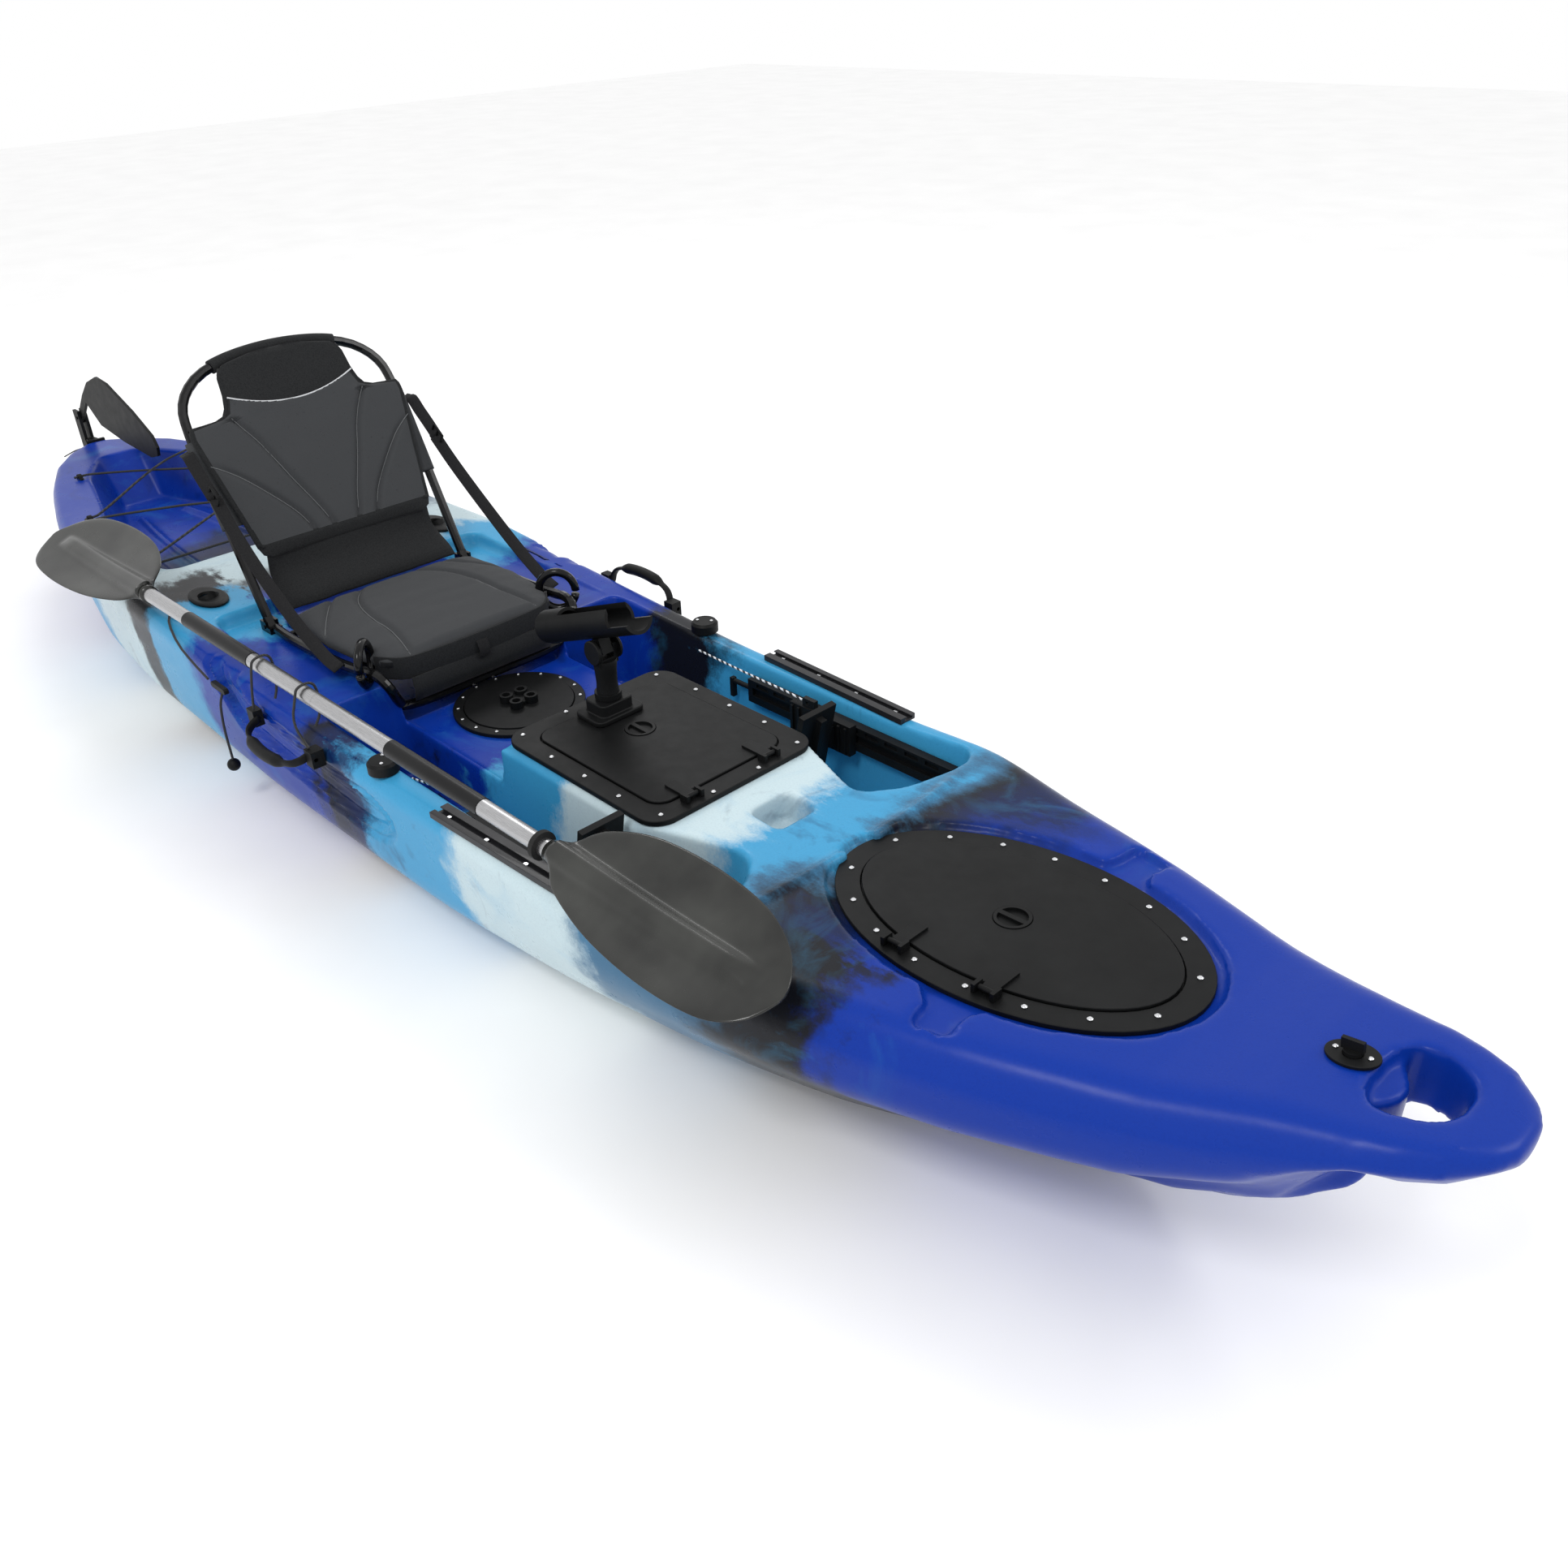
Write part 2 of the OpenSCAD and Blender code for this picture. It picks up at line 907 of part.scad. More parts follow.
module tank_bungee() {
    color("#1c1c1c")
    sweep(cut_corners(tank_route, 2), 3, [0, 0, 1]);
}

function shaft_at(x) = [x, -346 + (x - 1204) * 0.0353, 340 - (x - 1204) * 0.029];

// Keeper loops: from the hull side up over the shaft and back down inboard.
module paddle_bungees() {
    color("#1c1c1c")
    for (x = [-92, 62]) {
        s = shaft_at(x);
        sweep(
            cut_corners([
                [x < 0 ? x - 18 : x + 38, -420, 294],
                [x, -423, 330],
                [x, s[1] - 21, s[2] + 2],
                [x, s[1] - 15, s[2] + 19],
                [x, s[1] + 14, s[2] + 21],
                [x, s[1] + 22, s[2]],
                [x, s[1] + 18, 330],
                [x, -383, 308]
            ], 2),
            2.5, [1, 0, 0]
        );
    }
    sweep(cut_corners(side_cord_route, 1), 2.5, [0, 0, 1]);
}

module toggle_cord() {
    color("#1c1c1c")
    sweep(cut_corners(toggle_route, 1), 2.5, [1, 0, 0]);
}

module cord_toggle() {
    color("#151515")
    translate([-296, -421, 98.5])
    sphere(r = 13);
}

module bow_drain_base() {
    color("#121212")
    drain_place()
    linear_extrude(4.5)
    difference() {
        polygon(oval(31, 24, 40));
        circle(r = 11);
    }
}

module bow_drain_plug() {
    color("#0f0f0f")
    drain_place() {
        translate([0, 0, 0.4])
        cylinder(h = 9, r = 10.6);
        translate([-13, -3, 9])
        cube([26, 6, 14]);
    }
}

// ---- Seat ----

module seat_base_frame() {
    color("#0c0c0c") {
        both_sides() {
            sweep(
                cut_corners([
                    [seat_foot_x + 24.2, seat_half, seat_rail_z],
                    [-300, seat_half + 4, seat_rail_z + 1],
                    [-80, seat_half, seat_rail_z + 12],
                    [5, seat_half - 8, seat_rail_z + 28],
                    [32, seat_half - 20, seat_rail_z + 2],
                    [24, seat_half - 34, seat_rail_z - 32],
                    [2, seat_half - 60, 238],
                    [0, -4, 238]
                ], 2),
                tube_r, [1, 1, 1], 10
            );
            translate([seat_foot_x - 16, seat_half - 14, seat_rail_z - 10])
            difference() {
                cube([40, 28, 22]);
                translate([-2, 5.6, -1])
                cube([36, 16.8, 30]);
                translate([24, -1, 12])
                cube([20, 30, 12]);
                translate([16, -1, 10])
                rotate([-90, 0, 0])
                cylinder(h = 30, r = 4);
            }
            translate([seat_foot_x, seat_half - 16, seat_rail_z])
            rotate([-90, 0, 0])
            cylinder(h = 32, r = 3.9);
        }
        translate([-330, -seat_half - 3, seat_rail_z])
        rotate([-90, 0, 0])
        cylinder(h = 2 * seat_half + 6, r = 7);
        translate([-80, -seat_half, seat_rail_z + 10])
        rotate([-90, 0, 0])
        cylinder(h = 2 * seat_half, r = 7);
    }
}

module seat_cushion() {
    color("#6d7076")
    translate([0, 0, 323])
    hull() {
        translate([-180, 0, 0])
        linear_extrude(24)
        polygon([
            [-165, -212], [0, -222], [165, -188], [192, -150],
            [192, 150], [165, 188], [0, 222], [-165, 212]
        ]);
        translate([-175, 0, 4])
        linear_extrude(32)
        polygon([[-140, -190], [0, -198], [155, -160], [155, 160], [0, 198], [-140, 190]]);
    }
}

module back_place() {
    translate([seat_foot_x, 0, seat_rail_z])
    rotate([0, -back_lean, 0])
    children();
}

module seat_back_frame() {
    color("#0c0c0c")
    back_place() {
        sweep(
            cut_corners([
                [0, -seat_half, 18.2],
                [0, -seat_half, 200],
                [0, -seat_half, 400],
                [0, -222, 470],
                [0, -150, 522],
                [0, 0, 540],
                [0, 150, 522],
                [0, 222, 470],
                [0, seat_half, 400],
                [0, seat_half, 200],
                [0, seat_half, 18.2]
            ], 2),
            tube_r, [1, 0, 0], 10
        );
        both_sides()
        translate([-7.5, seat_half - 8, -7.5])
        difference() {
            cube([15, 16, 25.6]);
            translate([7.5, -1, 7.5])
            rotate([-90, 0, 0])
            cylinder(h = 18, r = 4.1);
        }
    }
}

module seat_back_pad() {
    color("#5d6167")
    back_place() {
        translate([12, 0, 0])
        rotate([90, 0, 90])
        linear_extrude(26)
        polygon([
            [-150, 126], [-195, 132], [-205, 200], [-222, 300], [-238, 385], [-228, 402], [-165, 408],
            [-142, 440], [-136, 500], [-80, 522], [0, 530], [80, 522], [136, 500], [142, 440],
            [165, 408], [228, 402], [238, 385], [222, 300], [205, 200], [195, 132], [150, 126]
        ]);
        translate([13, 0, 0])
        rotate([90, 0, 90])
        linear_extrude(8)
        polygon([[-178, 98], [-178, 126], [178, 126], [178, 98]]);
    }
}

module seat_straps() {
    color("#181818")
    both_sides()
    translate([0, seat_half + 22, 0])
    rotate([90, 0, 0])
    linear_extrude(2.4) {
        translate([-552, 612])
        rotate(-32)
        square([110, 25]);
        translate([-480, 552])
        rotate(-31)
        square([464, 25]);
    }
}

module strap_buckles() {
    color("#111111")
    both_sides() {
        translate([-470, seat_half + 15.5, 560])
        rotate([0, 31, 0])
        translate([-20, 0, -17])
        cube([40, 3.8, 36]);
        translate([-80, seat_half + 11, 315])
        cube([20, 8.3, 22]);
    }
}

// ---- Foot braces ----

module foot_rails() {
    color("#121212")
    both_sides()
    translate([rail_aft, rail_y, rail_z - 24])
    difference() {
        cube([rail_len, 18, 48]);
        translate([12, -1, 16])
        cube([rail_len - 24, 9, 16]);
        for (k = [0 : 9])
            translate([24 + 46 * k, -1, 36])
            cube([30, 5, 8]);
    }
}

module foot_carrier() {
    translate([carrier_x - 75, rail_y - 17, rail_z - 30])
    cube([150, 16.6, 60]);
    translate([carrier_x - 30, rail_y - 1, rail_z - 7.6])
    cube([60, 8.6, 15.2]);
    translate([carrier_x - 45, rail_y - 14, rail_z + 29])
    difference() {
        cube([30, 10, 18]);
        translate([12, -1, 9])
        rotate([-90, 0, 0])
        cylinder(h = 12, r = 4);
    }
}

module foot_carrier_port() {
    color("#161616")
    foot_carrier();
}

module foot_carrier_starboard() {
    color("#161616")
    mirror([0, 1, 0])
    foot_carrier();
}

module foot_pedal() {
    translate([carrier_x - 32, rail_y - 29.8, rail_z - 20])
    cube([70, 12, 40]);
    translate([carrier_x + 12, rail_y - 29, rail_z - 66])
    rotate([0, 12, 0])
    translate([0, -82, 0]) {
        difference() {
            cube([12, 82, 148]);
            for (k = [0 : 3])
                translate([-1, 10, 14 + 32 * k])
                cube([6, 62, 22]);
        }
        translate([11, 34, 10])
        cube([14, 14, 126]);
    }
}

module foot_pedal_port() {
    color("#191919")
    foot_pedal();
}

module foot_pedal_starboard() {
    color("#191919")
    mirror([0, 1, 0])
    foot_pedal();
}

module foot_adjuster() {
    translate([rail_aft - 48, rail_y + 9, rail_z])
    rotate([0, 90, 0])
    cylinder(h = 47, r = 5);
    translate([rail_aft - 56, rail_y + 4, rail_z - 34])
    cube([9, 10, 40]);
}

module foot_adjuster_port() {
    color("#141414")
    foot_adjuster();
}

module foot_adjuster_starboard() {
    color("#141414")
    mirror([0, 1, 0])
    foot_adjuster();
}

module steering_lines() {
    color("#d9dadb")
    both_sides()
    sweep(cut_corners(port_steer_route, 1), 2, [0, 0, 1]);
}

// ---- Rudder ----

module rudder_bracket() {
    color("#141414")
    difference() {
        union() {
            translate([-1960, -26, 258])
            cube([9.7, 52, 64]);
            for (z = [260, 310])
                hull() {
                    translate([-1962, -16, z])
                    cube([4, 32, 9]);
                    translate([-rudder_x, 0, z])
                    cylinder(h = 9, r = 13, $fn = 32);
                }
        }
        translate([-rudder_x, 0, 250])
        cylinder(h = 90, r = 5.1);
    }
    color("#c8c8c8")
    translate([-rudder_x, 0, 252]) {
        cylinder(h = 70, r = 5);
        cylinder(h = 7.7, r = 8);
    }
}

module rudder_head() {
    color("#171717")
    difference() {
        union() {
            translate([-rudder_x, 0, 269.4])
            cylinder(h = 40.2, r = 13);
            translate([-rudder_x - 5, -46, 284])
            cube([10, 92, 8]);
            translate([-2034, -13, 284])
            cube([46, 26, 25]);
            translate([-2034, -13, 308])
            cube([35, 26, 88]);
        }
        translate([-rudder_x, 0, 260])
        cylinder(h = 60, r = 5.1);
        translate([-2060, -4.6, 270])
        cube([61, 9.2, 140]);
        translate([-2000, -4.6, 322])
        cube([20, 9.2, 90]);
        translate([flip_x, -20, flip_z])
        rotate([-90, 0, 0])
        cylinder(h = 40, r = 4.1);
        for (sy = [-1, 1])
            translate([-rudder_x, sy * 38, 280])
            cylinder(h = 20, r = 3);
    }
    color("#c8c8c8")
    translate([flip_x, -16, flip_z])
    rotate([-90, 0, 0])
    cylinder(h = 32, r = 4);
}

module rudder_blade() {
    color("#101010")
    translate([0, blade_t / 2, 0])
    rotate([90, 0, 0])
    linear_extrude(blade_t)
    difference() {
        polygon([
            [-2030, 376], [-2015, 358], [-1924, 434], [-1850, 384], [-1700, 368], [-1520, 362],
            [-1470, 376], [-1462, 400], [-1480, 428], [-1580, 474], [-1720, 522], [-1790, 528],
            [-1870, 500], [-1939, 453]
        ]);
        translate([flip_x, flip_z])
        circle(r = 4.1);
    }
}

module rudder_lines() {
    color("#1b1b1b")
    both_sides()
    sweep(cut_corners(rudder_line_route, 1), 1.6, [0, 0, 1]);
}

// ---- Paddle ----

module paddle_place() {
    translate(paddle_tip)
    rotate([0, paddle_dip, paddle_yaw])
    children();
}

module shaft_piece(from, to) {
    translate([from, 0, 0])
    rotate([0, 90, 0])
    difference() {
        cylinder(h = to - from, r = shaft_r);
        translate([0, 0, -1])
        cylinder(h = to - from + 2, r = shaft_r - 1.5);
    }
}

module sleeve(from, to) {
    translate([from, 0, 0])
    rotate([0, 90, 0])
    difference() {
        cylinder(h = to - from, r = shaft_r + 0.8);
        translate([0, 0, -1])
        cylinder(h = to - from + 2, r = shaft_r);
    }
}

// Blade with its tip on the local origin and its socket towards the shaft.
module blade() {
    rotate([-blade_roll, 0, 0])
    translate([0, 0, -3])
    linear_extrude(6)
    polygon([
        [0, 18], [5, -20], [42, -62], [110, -92], [220, -104], [330, -96], [405, -68], [440, -26],
        [440, 22], [400, 50], [300, 78], [180, 90], [80, 88], [26, 66]
    ]);
    translate([200, 0, 0])
    rotate([0, 90, 0])
    cylinder(h = 240, r1 = 5, r2 = 18);
    translate([439.9, 0, 0])
    rotate([0, 90, 0])
    difference() {
        cylinder(h = 22, r = 18);
        translate([0, 0, 0.1])
        cylinder(h = 30, r = shaft_r + 0.05);
    }
}

module paddle_blade_fore() {
    color("#2a2b2d")
    paddle_place()
    blade();
}

module paddle_blade_aft() {
    color("#2a2b2d")
    paddle_place()
    translate([paddle_len, 0, 0])
    mirror([1, 0, 0])
    blade();
}

module paddle_shaft_fore() {
    color("#b9bcc0")
    paddle_place() {
        shaft_piece(blade_len + 0.1, ferrule - 0.2);
        translate([ferrule - 60, 0, 0])
        rotate([0, 90, 0])
        difference() {
            cylinder(h = 120, r = shaft_r - 1.55);
            translate([0, 0, -1])
            cylinder(h = 122, r = shaft_r - 3);
        }
    }
    color("#151515")
    paddle_place()
    sleeve(626, 876);
}

module paddle_shaft_aft() {
    color("#b9bcc0")
    paddle_place()
    shaft_piece(ferrule + 0.2, paddle_len - blade_len - 0.1);
    color("#151515")
    paddle_place()
    sleeve(1331, 1581);
}

module paddle_drip_ring() {
    color("#1a1a1a")
    paddle_place()
    translate([478, 0, 0])
    rotate([0, 90, 0])
    difference() {
        cylinder(h = 9, r = 23);
        translate([0, 0, -1])
        cylinder(h = 11, r = shaft_r);
    }
}

hull_shell();
keel_skid();
bow_hatch_frame();
bow_hatch_seal();
bow_hatch_lid();
bow_hatch_hinges();
bow_hatch_straps();
bow_hatch_latch();
bow_hatch_screws();
console_frame();
console_seal();
console_lid();
console_hinges();
console_straps();
console_latch();
console_screws();
day_hatch_frame();
day_hatch_lid();
day_hatch_knob();
day_hatch_screws();
rod_holder_base();
rod_holder_stem();
rod_holder_cradle();
gear_tracks();
gunwale_caps();
deck_screws();
handle_bases();
carry_handle_port();
carry_handle_starboard();
flush_rod_holders();
pad_eyes();
tank_bungee();
paddle_bungees();
toggle_cord();
cord_toggle();
bow_drain_base();
bow_drain_plug();
seat_base_frame();
seat_cushion();
seat_back_frame();
seat_back_pad();
seat_straps();
strap_buckles();
foot_rails();
foot_carrier_port();
foot_carrier_starboard();
foot_pedal_port();
foot_pedal_starboard();
foot_adjuster_port();
foot_adjuster_starboard();
steering_lines();
rudder_bracket();
rudder_head();
rudder_blade();
rudder_lines();
paddle_blade_fore();
paddle_blade_aft();
paddle_shaft_fore();
paddle_shaft_aft();
paddle_drip_ring();
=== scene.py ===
import json
from math import copysign, cos, exp, hypot, pi, radians, sin

import bmesh
import bpy
from mathutils import Matrix, Vector, noise


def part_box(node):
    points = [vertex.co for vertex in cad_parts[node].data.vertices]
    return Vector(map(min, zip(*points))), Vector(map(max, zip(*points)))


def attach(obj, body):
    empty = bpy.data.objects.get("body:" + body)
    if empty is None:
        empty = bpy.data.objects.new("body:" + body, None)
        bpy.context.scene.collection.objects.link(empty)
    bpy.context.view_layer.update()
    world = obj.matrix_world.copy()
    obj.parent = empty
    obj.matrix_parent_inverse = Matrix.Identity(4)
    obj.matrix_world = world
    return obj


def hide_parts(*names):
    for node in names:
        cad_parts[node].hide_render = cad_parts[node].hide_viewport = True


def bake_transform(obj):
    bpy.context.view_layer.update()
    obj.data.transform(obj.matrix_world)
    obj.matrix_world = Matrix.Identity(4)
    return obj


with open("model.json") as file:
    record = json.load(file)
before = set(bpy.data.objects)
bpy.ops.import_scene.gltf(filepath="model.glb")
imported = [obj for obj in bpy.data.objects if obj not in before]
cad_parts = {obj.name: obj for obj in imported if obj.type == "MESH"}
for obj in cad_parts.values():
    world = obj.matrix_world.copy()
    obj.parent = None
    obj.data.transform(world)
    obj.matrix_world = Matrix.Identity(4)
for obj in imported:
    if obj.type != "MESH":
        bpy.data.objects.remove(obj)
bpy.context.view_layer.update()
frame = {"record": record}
record = frame["record"]


def show(obj):
    bpy.context.scene.collection.objects.link(obj)
    return obj


# ---- Camera -------------------------------------------------------------

def make_camera():
    """Looks from the photograph's side: off the starboard bow, from above."""
    data = bpy.data.cameras.new("camera")
    data.sensor_width = 36.0
    data.lens = 30.72
    data.shift_x = 0.021
    data.shift_y = 0.0017
    cam = show(bpy.data.objects.new("camera", data))
    right = Vector((0.68990, 0.72287, -0.03871))
    up = Vector((-0.36212, 0.39092, 0.84620))
    back = Vector((0.62683, -0.56977, 0.53146))
    turn = Matrix((right, up, back)).transposed().to_4x4()
    cam.matrix_world = Matrix.Translation((2.1219, -1.2192, 1.4491)) @ turn
    bpy.context.scene.camera = cam


make_camera()


# ---- Mesh helpers -------------------------------------------------------

def new_object(name, verts, faces, smooth=True):
    mesh = bpy.data.meshes.new(name)
    mesh.from_pydata([tuple(v) for v in verts], [], faces)
    mesh.validate()
    bm = bmesh.new()
    bm.from_mesh(mesh)
    bmesh.ops.recalc_face_normals(bm, faces=bm.faces)
    bm.to_mesh(mesh)
    bm.free()
    obj = show(bpy.data.objects.new(name, mesh))
    if smooth:
        for p in mesh.polygons:
            p.use_smooth = True
    return obj


def bake(obj):
    """Applies the object's modifiers to its mesh."""
    deps = bpy.context.evaluated_depsgraph_get()
    mesh = bpy.data.meshes.new_from_object(obj.evaluated_get(deps))
    obj.modifiers.clear()
    obj.data = mesh
    return obj


def modifier(obj, kind, **values):
    m = obj.modifiers.new(kind.lower(), kind)
    for k, v in values.items():
        setattr(m, k, v)
    return m


def apply(obj, kind, **values):
    modifier(obj, kind, **values)
    return bake(obj)


def shade(obj, angle):
    for p in obj.data.polygons:
        p.use_smooth = True
    obj.data.set_sharp_from_angle(angle=radians(angle))


def fillet(points, radius, steps=4):
    """Rounds the corners of a closed outline."""
    out = []
    n = len(points)
    for i in range(n):
        p = Vector(points[i])
        a = Vector(points[i - 1]) - p
        b = Vector(points[(i + 1) % n]) - p
        r = radius[i] if isinstance(radius, (list, tuple)) else radius
        d = min(r, 0.45 * a.length, 0.45 * b.length)
        s = p + a.normalized() * d
        e = p + b.normalized() * d
        for k in range(steps + 1):
            t = k / steps
            out.append((1 - t) ** 2 * s + 2 * t * (1 - t) * p + t * t * e)
    return out


def loft(name, rings, cap=True):
    """Skins closed rings that all have the same number of points."""
    n = len(rings[0])
    verts = [v for r in rings for v in r]
    faces = []
    for i in range(len(rings) - 1):
        for k in range(n):
            j = (k + 1) % n
            faces.append((i * n + k, i * n + j, (i + 1) * n + j, (i + 1) * n + k))
    if cap:
        faces.append(tuple(range(n))[::-1])
        faces.append(tuple((len(rings) - 1) * n + k for k in range(n)))
    return new_object(name, verts, faces)


def prism(name, outline, low, high, taper=0.0, place=Matrix()):
    """Upright solid over an outline; taper pulls the bottom in."""
    mid = sum((Vector(p) for p in outline), Vector((0, 0))) / len(outline)
    rings = []
    for z, k in ((low, taper), (high, 0.0)):
        ring = []
        for p in outline:
            q = Vector(p) - mid
            q = q * (1 - k / max(q.length, k * 2, 1e-6))
            ring.append(place @ Vector((mid.x + q.x, mid.y + q.y, z)))
        rings.append(ring)
    return loft(name, rings)


def mirrored(points):
    return [(p[0], -p[1]) for p in reversed(points)]


def tube(name, points, radius, sides=14, closed=False):
    """Round tube along points, with caps."""
    pts = [Vector(p) for p in points]
    n = len(pts)
    side = None
    rings = []
    for i in range(n):
        a = pts[max(i - 1, 0)] if not closed else pts[i - 1]
        b = pts[min(i + 1, n - 1)] if not closed else pts[(i + 1) % n]
        t = (b - a).normalized()
        if side is None:
            side = t.orthogonal().normalized()
        side = (side - t * side.dot(t)).normalized()
        other = t.cross(side)
        r = radius(i / (n - 1)) if callable(radius) else radius
        rings.append([pts[i] + r * (c * side + s * other) for c, s in circle(sides)])
    return loft(name, rings)


def curve_points(points, step):
    """Smooth line through points (Catmull-Rom), evenly stepped."""
    p = [Vector(q) for q in points]
    p = [2 * p[0] - p[1]] + p + [2 * p[-1] - p[-2]]
    out = []
    for i in range(1, len(p) - 2):
        count = max(2, int((p[i + 1] - p[i]).length / step))
        for k in range(count):
            t = k / count
            a, b, c, d = p[i - 1], p[i], p[i + 1], p[i + 2]
            out.append(0.5 * (2 * b + (c - a) * t + (2 * a - 5 * b + 4 * c - d) * t * t
                              + (3 * b - a - 3 * c + d) * t ** 3))
    out.append(p[-2])
    return out


def cut_corners(points, passes):
    p = [Vector(q) for q in points]
    for _ in range(passes):
        q = [p[0]]
        for a, b in zip(p, p[1:]):
            q += [0.75 * a + 0.25 * b, 0.25 * a + 0.75 * b]
        p = q + [p[-1]]
    return p


def clamp(*values):
    """The least of some values, held between 0 and 1."""
    return max(0.0, min(1.0, *values))


def leaning(place, degrees):
    """A frame at a place, turned about the sideways axis."""
    return Matrix.Translation(place) @ Matrix.Rotation(radians(degrees), 4, "Y")


def mm(points):
    return [tuple(c / 1000 for c in p) for p in points]


def on(obj, body, slot_name, *nodes):
    """Fixes a piece to a body, in place of the named CAD nodes; the slot name is not used."""
    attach(obj, body)
    if nodes:
        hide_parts(*nodes)
    return obj


def circle(count):
    """Cosine and sine of evenly spaced angles."""
    return [(cos(2 * pi * k / count), sin(2 * pi * k / count)) for k in range(count)]


# ---- Materials ----------------------------------------------------------

class Nodes:
    """Short-hand for a material's node tree."""

    def __init__(self, name):
        self.mat = bpy.data.materials.new(name)
        self.mat.use_nodes = True
        self.tree = self.mat.node_tree
        self.shader = self.tree.nodes["Principled BSDF"]
        self.place = self.node("TexCoord").outputs["Object"]

    def node(self, kind, **inputs):
        node = self.tree.nodes.new("ShaderNode" + kind)
        for key, value in inputs.items():
            node.inputs[key.replace("_", " ")].default_value = value
        return node

    def set(self, **inputs):
        for key, value in inputs.items():
            self.shader.inputs[key.replace("_", " ")].default_value = value

    def link(self, a, b):
        self.tree.links.new(a, b)

    def noise(self, scale, detail=4.0, rough=0.5, stretch=None, warp=0.0):
        node = self.node("TexNoise", Scale=scale, Detail=detail, Roughness=rough, Distortion=warp)
        self.link(self.stretched(stretch) if stretch else self.place, node.inputs["Vector"])
        return node.outputs["Fac"]

    def stretched(self, scale):
        node = self.node("Mapping", Scale=scale)
        self.link(self.place, node.inputs["Vector"])
        return node.outputs["Vector"]

    def ramp(self, value, stops):
        node = self.node("ValToRGB")
        ramp = node.color_ramp
        while len(ramp.elements) < len(stops):
            ramp.elements.new(0.5)
        for e, (pos, col) in zip(ramp.elements, stops):
            e.position = pos
            e.color = (*col, 1)
        self.link(value, node.inputs["Fac"])
        return node.outputs["Color"]

    def math(self, op, a, b, clamp=False):
        node = self.node("Math")
        node.operation = op
        node.use_clamp = clamp
        for i, v in enumerate((a, b)):
            if isinstance(v, (int, float)):
                node.inputs[i].default_value = v
            else:
                self.link(v, node.inputs[i])
        return node.outputs[0]

    def add(self, a, b):
        return self.math("ADD", a, b)

    def times(self, a, b):
        return self.math("MULTIPLY", a, b)

    def mix(self, fac, a, b, blend="MIX"):
        node = self.node("Mix")
        node.data_type = "RGBA"
        node.blend_type = blend
        for sock, v in ((node.inputs["Factor"], fac), (node.inputs[6], a), (node.inputs[7], b)):
            if isinstance(v, (int, float)):
                sock.default_value = v
            elif isinstance(v, tuple):
                sock.default_value = (*v, 1)
            else:
                self.link(v, sock)
        return node.outputs[2]

    def spread(self, value, low, high):
        node = self.node("MapRange", To_Min=low, To_Max=high)
        self.link(value, node.inputs["Value"])
        return node.outputs[0]

    def bump(self, height, strength, distance=0.001):
        node = self.node("Bump", Strength=strength, Distance=distance)
        self.link(height, node.inputs["Height"])
        old = self.shader.inputs["Normal"]
        if old.is_linked:
            self.link(old.links[0].from_socket, node.inputs["Normal"])
        self.link(node.outputs["Normal"], old)

    def axes(self):
        node = self.node("SeparateXYZ")
        self.link(self.place, node.inputs[0])
        return node.outputs[0], node.outputs[1], node.outputs[2]


def plastic(name, color, rough, lift=1.6, grain=900, bump=0.12, coat=0.0, shine=0.2):
    """Moulded plastic: fine grain, slow colour drift, scuffed gloss."""
    m = Nodes(name)
    drift = m.noise(9, 3)
    light = tuple(min(1.0, c * lift + 0.002) for c in color)
    m.link(m.ramp(drift, [(0.3, color), (0.75, light)]), m.shader.inputs["Base Color"])
    m.link(m.spread(m.noise(35, 6, 0.6), rough - 0.08, rough + 0.1), m.shader.inputs["Roughness"])
    m.set(Coat_Weight=coat, Specular_IOR_Level=shine)
    m.bump(m.noise(grain, 2), bump, 0.0004)
    return m.mat


def metal(name, color, rough, stretch):
    """Brushed metal: streaks along one direction."""
    m = Nodes(name)
    streak = m.noise(40, 6, 0.7, stretch=stretch)
    dark = tuple(c * 0.72 for c in color)
    m.link(m.ramp(streak, [(0.3, dark), (0.7, color)]), m.shader.inputs["Base Color"])
    m.link(m.spread(streak, rough - 0.08, rough + 0.12), m.shader.inputs["Roughness"])
    m.set(Metallic=1.0)
    m.bump(streak, 0.08, 0.0003)
    return m.mat


def weave(name, color, light, scale, rough, bump, melange):
    """Woven cloth: crossed threads with mixed yarn colour."""
    m = Nodes(name)
    x = m.noise(scale, 2, 0.6, stretch=(1, 6, 1))
    y = m.noise(scale, 2, 0.6, stretch=(6, 1, 1))
    thread = m.add(x, y)
    yarn = m.times(m.noise(scale * 0.6, 3, 0.8), melange)
    mixed = m.add(yarn, m.times(thread, 0.25))
    m.link(m.ramp(mixed, [(0.36, color), (0.60, light)]), m.shader.inputs["Base Color"])
    m.set(Roughness=rough, Sheen_Weight=0.05, Sheen_Roughness=0.4, Specular_IOR_Level=0.15)
    m.bump(thread, bump, 0.0006)
    return m.mat


# Hull colours, and where bands of them start and end (metres) on each side and down the middle.
BLUE = (0.003, 0.031, 0.29)
DEEP = (0.004, 0.014, 0.075)
CYAN = (0.045, 0.30, 0.54)
STEEL = (0.035, 0.13, 0.24)
WHITE = (0.50, 0.62, 0.66)
BLACK = (0.007, 0.008, 0.012)

